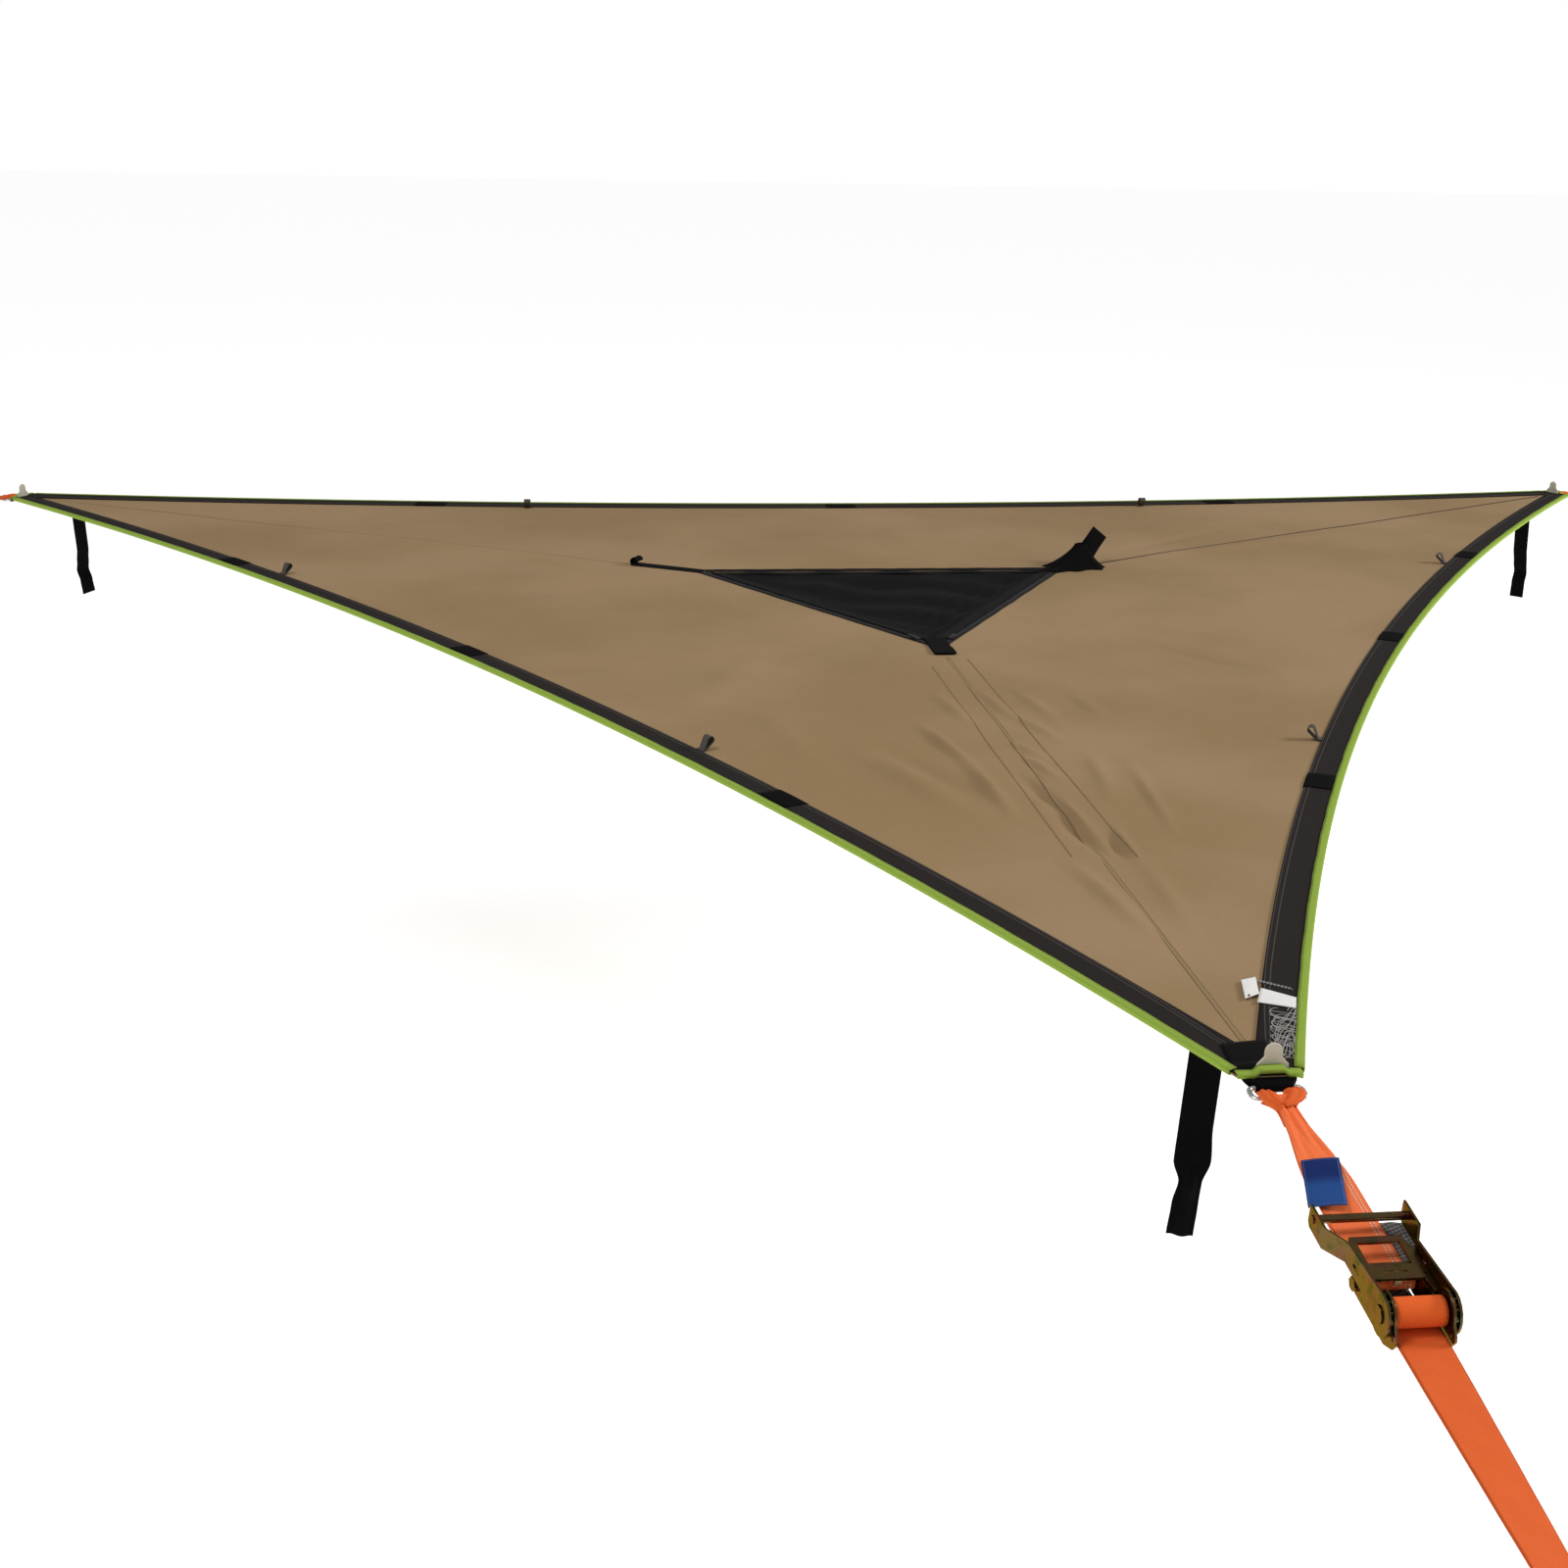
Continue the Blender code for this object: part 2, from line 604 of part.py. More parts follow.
def make_hanging_strap(name, corner, length, fold_shares):
    """Black strap sewn under the floor on the median, hanging with a slight kink and any fold given."""
    pivot = add_empty(name + "_pivot", (0, -CIRCUMRADIUS + HANG_INSET, -FLOOR_TOP - GAP - HANG_THICKNESS / 2),
                      parent=corner)
    kink_shares = (0.0, 0.25, 0.50, 0.64, 0.74, 0.86, 1.0)
    kinks = (0.0, 0.2, 0.3, -0.4, -1.0, 0.2, 0.8)
    rows = [(0.0, 0.0, HANG_THICKNESS / 2, 1.0, 0.5), (0.0, 0.0, HANG_THICKNESS / 4, 1.0, 1.0)]
    rows += [(HANG_DRIFT * share, HANG_KINK * kink, -length * share, fold, 1.0)
             for share, kink, fold in zip(kink_shares, kinks, fold_shares)]
    rings = []
    for drift, kink, z, fold, depth in rows:
        x = HANG_WIDTH * fold / 2
        y = HANG_THICKNESS * depth / 2
        place = Vector((-HANG_SHIFT - drift, kink, z))
        rings.append([place + Vector((u * x, v * y, 0)) for u, v in ((1, 1), (-1, 1), (-1, -1), (1, -1))])
    add_object(name, loft(rings), (0.012, 0.012, 0.014), 0.8, parent=pivot)


def make_gear_loop(name, index, share, root):
    """Small grey webbing loop, sewn flat at the hem's inner edge and rising inward to its eye."""
    place, along, inward = edge_point(share, HEM_INSET + HEM_WIDTH)
    low = FLOOR_TOP + GAP + GEAR_LOOP_THICKNESS / 2
    high = low + GEAR_LOOP_THICKNESS + GAP
    eye_x = GEAR_LOOP_REACH - GEAR_LOOP_RADIUS
    eye_z = low + GEAR_LOOP_RISE
    slope = atan2(GEAR_LOOP_RISE, eye_x - GEAR_LOOP_FOOT)
    outline = [(GAP, low), (GEAR_LOOP_FOOT + GEAR_LOOP_THICKNESS, low)]
    outline += arc(eye_x, eye_z, GEAR_LOOP_RADIUS, slope - radians(110), slope + radians(110), 10)
    outline += [(GEAR_LOOP_FOOT, high), (GAP, high)]
    points = [place + inward * x + Vector((0, 0, z)) for x, z in outline]
    obj = add_object(name, ribbon(points, GEAR_LOOP_WIDTH, GEAR_LOOP_THICKNESS, along),
                     (0.10, 0.09, 0.08), 0.8, parent=root)
    obj.rotation_euler.z = radians(120 * index)


def hatch_corner(index, radius=HATCH_RADIUS):
    """A corner of the hatch: 0 near, 1 right, 2 left."""
    angle = radians(-90 + 120 * index)
    return Vector((radius * cos(angle), radius * sin(angle), 0))


def hatch_strip(start_index, end_index, low, high, width, trim):
    """A strip outside one hatch edge, from corner to corner less a trim."""
    start = hatch_corner(start_index)
    end = hatch_corner(end_index)
    along = (end - start).normalized()
    outward = Vector((along.y, -along.x, 0))
    if outward.dot(start + end) < 0:
        outward.negate()
    first = start + along * trim
    last = end - along * trim
    corners = [first + outward * GAP, last + outward * GAP, last + outward * width, first + outward * width]
    return slab([(point.x, point.y) for point in corners], high - low, low)


def make_hatch(root):
    """Mesh flap hung on its far edge, its two zips, the hinge hem and the corner tabs."""
    inset = FLAP_GAP * 2
    inner = HATCH_RADIUS - inset
    hinge_y = inner * sin(radians(30))
    pivot = add_empty("hatch_hinge", (0, hinge_y, 0), parent=root)
    corners = [hatch_corner(i, inner) for i in range(3)]
    outline = [(point.x, point.y - hinge_y) for point in corners]
    bm = slab(outline, FLAP_THICKNESS, -FLAP_THICKNESS / 2)
    add_object("hatch_mesh_flap", bm, (0.010, 0.009, 0.009), 0.9, parent=pivot)
    low = FLOOR_TOP + GAP
    dark = (0.02, 0.022, 0.026)
    for name, ends in (("left", (2, 0)), ("right", (0, 1))):
        bm = hatch_strip(*ends, low, low + ZIP_THICKNESS, ZIP_WIDTH, GAP)
        add_object("zip_tape_" + name, bm, (0.06, 0.07, 0.09), 0.6, parent=root)
    bm = hatch_strip(1, 2, low, low + ZIP_THICKNESS, HATCH_HEM_WIDTH, GAP)
    add_object("hatch_hinge_hem", bm, dark, 0.8, parent=root)
    make_zip_slider("zip_slider_left", 0, 2, low + ZIP_THICKNESS + GAP, root)
    make_zip_slider("zip_slider_right", 0, 1, low + ZIP_THICKNESS + GAP, root)
    make_hatch_tabs(low + ZIP_THICKNESS + GAP, dark, root)


def make_zip_slider(name, start_index, end_index, base, root):
    """Zip slider on its tape, with a pull tab lying flat along it."""
    start = hatch_corner(start_index)
    along = (hatch_corner(end_index) - start).normalized()
    outward = Vector((along.y, -along.x, 0))
    if outward.dot(start) < 0:
        outward.negate()
    place = start + along * SLIDER_START + outward * (ZIP_WIDTH / 2) + Vector((0, 0, base))
    empty = add_empty(name + "_track", place, (0, 0, atan2(along.y, along.x)), root)
    half = SLIDER_LENGTH / 2
    body = [(-half, 0), (half, 0), (half, SLIDER_HEIGHT * 0.6), (half * 0.5, SLIDER_HEIGHT),
            (-half * 0.5, SLIDER_HEIGHT), (-half, SLIDER_HEIGHT * 0.6)]
    bm = slab(body, SLIDER_WIDTH, -SLIDER_WIDTH / 2)
    bmesh.ops.rotate(bm, verts=bm.verts, matrix=Matrix.Rotation(radians(90), 3, "X"))
    obj = add_object(name, bm, (0.02, 0.02, 0.02), 0.4, 0.5, parent=empty)
    tail = box_outline(half * 0.2, half * 0.2 + PULL_LENGTH, -PULL_WIDTH / 2, PULL_WIDTH / 2)
    pull = slab(tail, PULL_THICKNESS, SLIDER_HEIGHT - PULL_THICKNESS * 0.6)
    helper = add_object(name + "_pull", pull, (0.02, 0.02, 0.02), 0.4, 0.5, parent=empty)
    join(obj, helper)


def make_hatch_tabs(base, color, root):
    """Webbing tabs at the hatch corners: near one flat, left one thin, right one standing."""
    level = base + TAB_THICKNESS / 2
    fold = TAB_THICKNESS + GAP
    start = hatch_corner(0).y + NEAR_TAB_LENGTH * 0.4
    end = start - NEAR_TAB_LENGTH
    on_flap = level - ZIP_THICKNESS - GAP
    path = [Vector((0, start, on_flap)), Vector((0, start - NEAR_TAB_LENGTH * 0.03, on_flap)),
            Vector((0, start - NEAR_TAB_LENGTH * 0.09, level)), Vector((0, end, level)),
            Vector((0, end - fold * 0.6, level + fold / 2)), Vector((0, end, level + fold)),
            Vector((0, end + NEAR_TAB_LENGTH * 0.3, level + fold))]
    add_object("hatch_tab_near", ribbon(path, NEAR_TAB_WIDTH, TAB_THICKNESS), color, 0.8, parent=root)
    out = hatch_corner(2).normalized()
    side = Vector((-out.y, out.x, 0))
    rise = Vector((0, 0, 1))
    level = FLOOR_TOP + GAP + TAB_THICKNESS / 2
    first = hatch_corner(2) + out * (LEFT_TAB_WIDTH * 0.3 + FLAP_GAP)
    last = first + out * LEFT_TAB_LENGTH
    eye = LEFT_TAB_WIDTH / 2
    path = [first + rise * level, last + rise * level]
    path += [last + out * x + rise * (level + eye + z) for x, z in arc(0, 0, eye, -pi / 3, pi, 8)]
    add_object("hatch_tab_left", ribbon(path, LEFT_TAB_WIDTH, TAB_THICKNESS, side), color, 0.8, parent=root)
    out = hatch_corner(1).normalized()
    side = Vector((-out.y, out.x, 0))
    first = hatch_corner(1) + out * (RIGHT_TAB_WIDTH * 0.3 + FLAP_GAP)
    length_shares = (0.0, 0.45, 0.75, 0.92, 1.0)
    rise_shares = (0.0, 0.0, 0.12, 0.55, 1.0)
    path = [first + out * RIGHT_TAB_LENGTH * a + rise * (level + RIGHT_TAB_RISE * b)
            for a, b in zip(length_shares, rise_shares)]
    add_object("hatch_tab_right", ribbon(path, RIGHT_TAB_WIDTH, TAB_THICKNESS, side), color, 0.8, parent=root)


ZINC = (0.30, 0.24, 0.13)


def plate_object(name, outline, thickness, base, holes, parent):
    """A plate in the ratchet's side view: first coordinate towards the tent, second up."""
    bm = slab(outline, thickness, base, holes)
    turn = Matrix(((0, 0, 1, 0), (1, 0, 0, 0), (0, 1, 0, 0), (0, 0, 0, 1)))
    bmesh.ops.transform(bm, matrix=turn, verts=bm.verts)
    return add_object(name, bm, ZINC, 0.35, 0.9, parent=parent)


def rod_object(name, radius, half_length, parent, steps=20):
    """A round bar across the ratchet, centred on its parent."""
    bm = bmesh.new()
    bmesh.ops.create_cone(bm, cap_ends=True, segments=steps, radius1=radius, radius2=radius,
                          depth=2 * half_length, matrix=Matrix.Rotation(radians(90), 4, "Y"))
    return add_object(name, bm, ZINC, 0.35, 0.9, parent=parent, smooth=radians(40))


def frame_outline():
    """The base frame's side plate: cam round the drum, nose below it and the bolt's round end."""
    bolt_y = -DRUM_RISE
    bolt_end = FRAME_DEPTH + bolt_y
    nose = FRAME_NOSE * 0.45
    points = arc(0, 0, CAM_RADIUS, 0, pi - 0.05, 12)
    points = [(x, y) for x, y in points]
    points.append((-FRAME_NOSE, -nose * 0.6))
    points.append((-FRAME_NOSE - BORE_CLEARANCE * 4, -nose))
    points.append((-FRAME_NOSE * 0.8, -FRAME_DEPTH * 0.75))
    points.append((-FRAME_NOSE * 0.2, -FRAME_DEPTH))
    points.append((BOLT_TO_DRUM - bolt_end * 0.2, -FRAME_DEPTH))
    points += arc(BOLT_TO_DRUM, bolt_y, bolt_end, -pi / 2 + 0.15, pi / 2, 8)
    points.append((CAM_RADIUS * 1.25, -BORE_CLEARANCE * 3))
    return points


def lock_direction():
    """The lock pawl's radial direction in the ratchet's side view."""
    return cos(LOCK_TILT), -sin(LOCK_TILT)


def lock_slot():
    """The slot that guides the lock pawl in each side plate."""
    x, y = lock_direction()
    half = LOCK_THICKNESS / 2 + BORE_CLEARANCE
    near = GEAR_ROOT_RADIUS + BORE_CLEARANCE
    far = GEAR_ROOT_RADIUS + 2 * BORE_CLEARANCE + LOCK_LENGTH + LOCK_TRAVEL + 2 * BORE_CLEARANCE
    return [(near * x - half * y, near * y + half * x), (near * x + half * y, near * y - half * x),
            (far * x + half * y, far * y - half * x), (far * x - half * y, far * y + half * x)]


def lock_seat():
    """The lip bent up from the frame's web, which the lock pawl's spring rests on."""
    start = WEB_START - PLATE_THICKNESS * 0.6
    return start, start + PLATE_THICKNESS


def make_frame(drum):
    """Base frame of the ratchet: two side plates with a web between them."""
    bolt_hole = circle(BOLT_TO_DRUM, -DRUM_RISE, BOLT_RADIUS + BORE_CLEARANCE, 16)
    drum_hole = circle(0, 0, SPINDLE_RADIUS + BORE_CLEARANCE)
    nose_hole = circle(-FRAME_NOSE * 0.75, -FRAME_NOSE * 0.42, BOLT_RADIUS * 0.4, 8)
    holes = (bolt_hole, drum_hole, lock_slot(), nose_hole)
    frame = plate_object("ratchet_frame", frame_outline(), PLATE_THICKNESS, PLATE_INNER, holes, drum)
    other = plate_object("frame_second_plate", frame_outline(), PLATE_THICKNESS,
                         -PLATE_INNER - PLATE_THICKNESS, holes, drum)
    web_low = -FRAME_DEPTH
    web = box_outline(WEB_START, WEB_END, web_low, web_low + WEB_THICKNESS)
    half = PLATE_INNER + PLATE_THICKNESS * 0.5
    bridge = plate_object("frame_web", web, 2 * half, -half, (), drum)
    seat = box_outline(*lock_seat(), web_low, -FRAME_DEPTH * 0.55)
    tab_half = SPRING_RADIUS + PLATE_THICKNESS
    lip = plate_object("frame_spring_lip", seat, 2 * tab_half, -tab_half, (), drum)
    join(frame, bridge)
    join(frame, lip)
    join(frame, other)
    return frame


def make_bolt(drum):
    """Fixed bolt that the short strap loops round, with its nut."""
    centre = add_empty("bolt_axis", (0, BOLT_TO_DRUM, -DRUM_RISE), parent=drum)
    face = PLATE_INNER + PLATE_THICKNESS + SIDE_CLEARANCE
    shaft_end = face + BOLT_HEAD_THICKNESS
    bolt = rod_object("fixed_bolt", BOLT_RADIUS, shaft_end, centre, 16)
    head = plate_object("bolt_head", circle(0, 0, BOLT_HEAD_RADIUS, 6), BOLT_HEAD_THICKNESS,
                        -face - BOLT_HEAD_THICKNESS, (), centre)
    join(bolt, head)
    bore = circle(0, 0, BOLT_RADIUS + BORE_CLEARANCE, 16)
    plate_object("fixed_nut", circle(0, 0, BOLT_HEAD_RADIUS, 6), BOLT_HEAD_THICKNESS, face, (bore,), centre)


def gear_outline():
    """A ratchet wheel with sawteeth, one root gap facing the lock pawl."""
    pitch = 2 * pi / GEAR_TEETH
    tooth_shares = ((0.00, 0), (0.50, 0), (0.82, 1), (0.94, 1))
    first = -LOCK_TILT - pitch * 0.25
    points = []
    for tooth in range(GEAR_TEETH):
        for share, is_tip in tooth_shares:
            radius = GEAR_TIP_RADIUS if is_tip else GEAR_ROOT_RADIUS
            angle = first + pitch * (tooth + share)
            points.append((radius * cos(angle), radius * sin(angle)))
    return points


def make_drum(drum):
    """Slotted spindle with two ratchet wheels, turning in the frame."""
    profile = [(0, SPINDLE_RADIUS), (ARM_INNER - SIDE_CLEARANCE, SPINDLE_RADIUS),
               (ARM_INNER - SIDE_CLEARANCE, SPINDLE_END_RADIUS), (ARM_OUTER + SIDE_CLEARANCE, SPINDLE_END_RADIUS),
               (ARM_OUTER + SIDE_CLEARANCE, SPINDLE_RADIUS), (ARM_OUTER + SPINDLE_RADIUS * 0.2, SPINDLE_RADIUS)]
    profile = [(-x, r) for x, r in reversed(profile[1:])] + profile[1:]
    points = [(profile[0][0], 0.0), *profile, (profile[-1][0], 0.0)]
    bm = bmesh.new()
    verts = [bm.verts.new((x, 0, radius)) for x, radius in points]
    edges = [bm.edges.new(pair) for pair in zip(verts, verts[1:])]
    bmesh.ops.spin(bm, geom=verts + edges, cent=(0, 0, 0), axis=(1, 0, 0), angle=2 * pi,
                   steps=20, use_merge=True, use_duplicate=False)
    bmesh.ops.remove_doubles(bm, verts=bm.verts, dist=GAP / 100)
    spindle = add_object("drum_spindle", bm, ZINC, 0.35, 0.9, parent=drum, smooth=radians(40))
    slot = box_outline(-SPINDLE_RADIUS - CUT_OVERRUN, SPINDLE_RADIUS + CUT_OVERRUN, -SPINDLE_SLOT / 2, SPINDLE_SLOT / 2)
    cutter = plate_object("spindle_slot", slot, 2 * PLATE_INNER, -PLATE_INNER, (), drum)
    cut(spindle, cutter)
    bore = circle(0, 0, SPINDLE_RADIUS + BORE_CLEARANCE)
    plate_object("ratchet_wheel_right", gear_outline(), GEAR_THICKNESS, GEAR_INNER, (bore,), drum)
    plate_object("ratchet_wheel_left", gear_outline(), GEAR_THICKNESS, -GEAR_INNER - GEAR_THICKNESS, (bore,), drum)


def wrap_path():
    """The wound webbing's centre line: through the slot, then a spiral to the drum's underside."""
    start_radius = WRAP_END_RADIUS - WRAP_PITCH * WRAP_TURNS
    end = -pi / 2 - 2 * pi * int(WRAP_TURNS)
    begin = end + 2 * pi * WRAP_TURNS - radians(11)
    steps = int(24 * WRAP_TURNS)
    path = [(-SPINDLE_RADIUS * 0.9, 0.0), (SPINDLE_RADIUS * 0.95, 0.0)]
    path.append((SPINDLE_RADIUS * 1.07, -SPINDLE_RADIUS * 0.075))
    for i in range(steps + 1):
        angle = begin + (end - begin) * i / steps
        radius = start_radius + WRAP_PITCH * (begin - angle) / (2 * pi)
        path.append((radius * cos(angle), radius * sin(angle)))
    return path


def make_wound_webbing(drum):
    """The webbing wound on the drum, one unbroken band through the spindle's slot."""
    path = wrap_path()
    points = [Vector((0, y, z)) for y, z in path]
    bm = ribbon(points, WEBBING_WIDTH, WRAP_THICKNESS)
    add_object("wound_webbing", bm, (0.83, 0.13, 0.03), 0.65, parent=drum)
    turns = points[3:]
    least = min((a - b).length for i, a in enumerate(turns) for b in turns[i + 16:])
    print(f"wound webbing: least gap between turns {1000 * (least - WRAP_THICKNESS):.2f} mm")


def flare(distance):
    """How far an arm stands out at a distance from the drum axis."""
    extra = HANDLE_OUTER_WIDTH / 2 - ARM_OUTER
    share = (distance - HANDLE_FLARE_START) / (HANDLE_FLARE_END - HANDLE_FLARE_START)
    return extra * min(max(share, 0.0), 1.0)


def arm_outline():
    """An arm of the handle: a lobe on the spindle, a straight bar and a deeper flared end."""
    lobe = CAM_RADIUS
    top_end = HANDLE_ROD_RISE + HANDLE_ROD_RADIUS * 2.4
    low = -DRUM_RISE + BOLT_HEAD_RADIUS + 4 * BORE_CLEARANCE
    deep = low - HANDLE_ROD_RADIUS
    end = HANDLE_LENGTH + HANDLE_ROD_RADIUS * 2.4
    points = arc(0, 0, lobe, radians(75), radians(300), 12)
    points += [(lobe * 1.35, low), (HANDLE_FLARE_START, low), (HANDLE_FLARE_END, deep)]
    points += [(end - HANDLE_ROD_RADIUS, deep), (end, deep + HANDLE_ROD_RADIUS), (end, top_end)]
    points += [(HANDLE_FLARE_END, top_end), (HANDLE_FLARE_START, top_end + HANDLE_ROD_RADIUS * 0.6)]
    return points


def make_handle(drum):
    """Handle: two flared arms, the grip rod and a cross bar that the drive spring rests on."""
    bore = circle(0, 0, SPINDLE_END_RADIUS + BORE_CLEARANCE)
    low, high = pawl_level()
    ear_start, ear_end = pawl_ears()
    slot = box_outline(ear_start - BORE_CLEARANCE, ear_end + PAWL_TRAVEL + BORE_CLEARANCE,
                       low - BORE_CLEARANCE, high + BORE_CLEARANCE)
    arms = []
    for name, sign in (("ratchet_handle", 1), ("handle_second_arm", -1)):
        bm = slab(arm_outline(), PLATE_THICKNESS, ARM_INNER, (bore, slot))
        for place in (HANDLE_FLARE_START, HANDLE_FLARE_END):
            bmesh.ops.bisect_plane(bm, geom=bm.verts[:] + bm.edges[:] + bm.faces[:], dist=GAP / 100,
                                   plane_co=(place, 0, 0), plane_no=(1, 0, 0))
        for vert in bm.verts:
            vert.co.z = sign * (vert.co.z + flare(vert.co.x))
        turn = Matrix(((0, 0, 1, 0), (1, 0, 0, 0), (0, 1, 0, 0), (0, 0, 0, 1)))
        bmesh.ops.transform(bm, matrix=turn, verts=bm.verts)
        arms.append(add_object(name, bm, ZINC, 0.35, 0.9, parent=drum))
    rod_place = add_empty("rod_axis", (0, HANDLE_LENGTH, HANDLE_ROD_RISE), parent=drum)
    rod = rod_object("handle_rod", HANDLE_ROD_RADIUS, HANDLE_OUTER_WIDTH / 2 + PLATE_THICKNESS * 0.6, rod_place, 16)
    bar_start = ear_end + PAWL_TRAVEL + PAWL_THICKNESS * 0.3
    bar = box_outline(bar_start, bar_start + PLATE_THICKNESS, low - 2 * PAWL_THICKNESS, low - 2 * BORE_CLEARANCE)
    half = ARM_INNER + PLATE_THICKNESS * 0.5
    cross = plate_object("handle_cross_bar", bar, 2 * half, -half, (), drum)
    join(arms[0], arms[1])
    join(arms[0], rod)
    join(arms[0], cross)


def pawl_level():
    """The drive pawl's underside and top above the drum axis."""
    low = PAWL_THICKNESS * 0.5
    return low, low + PAWL_THICKNESS


def pawl_ears():
    """Where the drive pawl's ears stand in the arms' slots."""
    start = BOLT_TO_DRUM - PAWL_THICKNESS * 4
    return start, start + PAWL_THICKNESS * 3


def make_drive_pawl(drum):
    """Spring-loaded plate in the handle: prongs over the wheels, ears in the arms, a finger bar."""
    low, _ = pawl_level()
    ear_start, ear_end = pawl_ears()
    tip = CAM_RADIUS + 2 * BORE_CLEARANCE
    prong = CAM_RADIUS * 2
    wide = ARM_INNER - 2 * SIDE_CLEARANCE
    slim = PLATE_INNER - SIDE_CLEARANCE
    ear = ARM_OUTER - SIDE_CLEARANCE
    right = [(tip, slim), (tip, wide), (ear_start, wide), (ear_start, ear), (ear_end, ear), (ear_end, wide),
             (HANDLE_FLARE_START, wide), (PAWL_GRIP, slim)]
    left = [(x, -y) for x, y in reversed(right)]
    outline = right + left + [(prong, -slim), (prong, slim)]
    window = [(x, y) for x, y in box_outline(PAWL_GRIP - 0.38 * PAWL_GRIP, PAWL_GRIP - 2 * PAWL_GRIP_RADIUS,
                                             -slim * 0.8, slim * 0.8)]
    slot_start = prong + PAWL_THICKNESS * 3
    slot = box_outline(slot_start, slot_start + PAWL_THICKNESS, -slim * 0.45, slim * 0.45)
    bm = slab(outline, PAWL_THICKNESS, low, (window, slot))
    turn = Matrix(((0, 1, 0, 0), (1, 0, 0, 0), (0, 0, 1, 0), (0, 0, 0, 1)))
    bmesh.ops.transform(bm, matrix=turn, verts=bm.verts)
    pawl = add_object("drive_pawl", bm, ZINC, 0.35, 0.9, parent=drum)
    grip = add_empty("pawl_grip_axis", (0, PAWL_GRIP, low + PAWL_THICKNESS / 2), parent=drum)
    bar = rod_object("pawl_grip_bar", PAWL_GRIP_RADIUS, slim, grip, 12)
    tab_outline = box_outline(prong + BORE_CLEARANCE, prong + PAWL_THICKNESS, low - 2 * PAWL_THICKNESS, low + PAWL_THICKNESS / 2)
    tab = plate_object("pawl_spring_tab", tab_outline, 2 * SPRING_RADIUS + PAWL_THICKNESS,
                       -SPRING_RADIUS - PAWL_THICKNESS / 2, (), drum)
    join(pawl, bar)
    join(pawl, tab)


def make_lock_pawl(drum):
    """Spring-loaded plate across the frame, its edge in the wheels' tooth gaps."""
    x, y = lock_direction()
    half = LOCK_THICKNESS / 2
    near = GEAR_ROOT_RADIUS + 2 * BORE_CLEARANCE
    far = near + LOCK_LENGTH
    outline = [(near * x - half * y, near * y + half * x), (near * x + half * y, near * y - half * x),
               (far * x + half * y, far * y - half * x), (far * x - half * y, far * y + half * x)]
    width = GEAR_INNER + GEAR_THICKNESS
    plate_object("lock_pawl", outline, 2 * width, -width, (), drum)


def make_spring(name, start, end, parent):
    """A small compression spring between two points of the side view."""
    along = Vector((0, end[0] - start[0], end[1] - start[1]))
    length = along.length
    along.normalize()
    side = Vector((1, 0, 0))
    other = along.cross(side)
    curve = bpy.data.curves.new(name, "CURVE")
    curve.dimensions = "3D"
    curve.bevel_depth = SPRING_WIRE / 2
    curve.bevel_resolution = 0
    curve.use_fill_caps = True
    spline = curve.splines.new("POLY")
    steps = 10 * SPRING_TURNS
    spline.points.add(steps)
    origin = Vector((0, start[0], start[1]))
    for i, point in enumerate(spline.points):
        angle = 2 * pi * SPRING_TURNS * i / steps
        place = origin + along * (length * i / steps)
        place += (side * cos(angle) + other * sin(angle)) * SPRING_RADIUS
        point.co = (*place, 1)
    obj = bpy.data.objects.new(name, curve)
    bpy.context.scene.collection.objects.link(obj)
    curve.materials.append(make_material(name + "_finish", (0.5, 0.5, 0.5), 0.3, 1.0))
    obj.parent = parent


def make_ratchet(line):
    """The whole ratchet on its drum axis."""
    drum = add_empty("drum_axis", (0, -DRUM_OUT, DRUM_RISE), parent=line)
    make_frame(drum)
    make_bolt(drum)
    make_drum(drum)
    make_wound_webbing(drum)
    make_handle(drum)
    make_drive_pawl(drum)
    make_lock_pawl(drum)
    low, _ = pawl_level()
    _, ear_end = pawl_ears()
    clear = SPRING_WIRE / 2 + GAP
    level = low - SPRING_RADIUS - 2 * clear
    bar_start = ear_end + PAWL_TRAVEL + PAWL_THICKNESS * 0.3
    make_spring("drive_spring", (CAM_RADIUS * 2 + PAWL_THICKNESS + clear, level), (bar_start - clear, level), drum)
    x, y = lock_direction()
    tail = GEAR_ROOT_RADIUS + 2 * BORE_CLEARANCE + LOCK_LENGTH + clear
    reach = (lock_seat()[0] - clear + y * SPRING_RADIUS) / x
    make_spring("lock_spring", (tail * x, tail * y), (reach * x, reach * y), drum)


def make_line(corner_name, corner, drop):
    """A corner's line frame on the ring's inner bar, tilted down by its drop."""
    line = add_empty(corner_name + "_line", (0, -CIRCUMRADIUS - RING_OUT, -BAR_DROP), (drop, 0, 0), corner)
    make_ring(corner_name + "_ring", line)
    return line


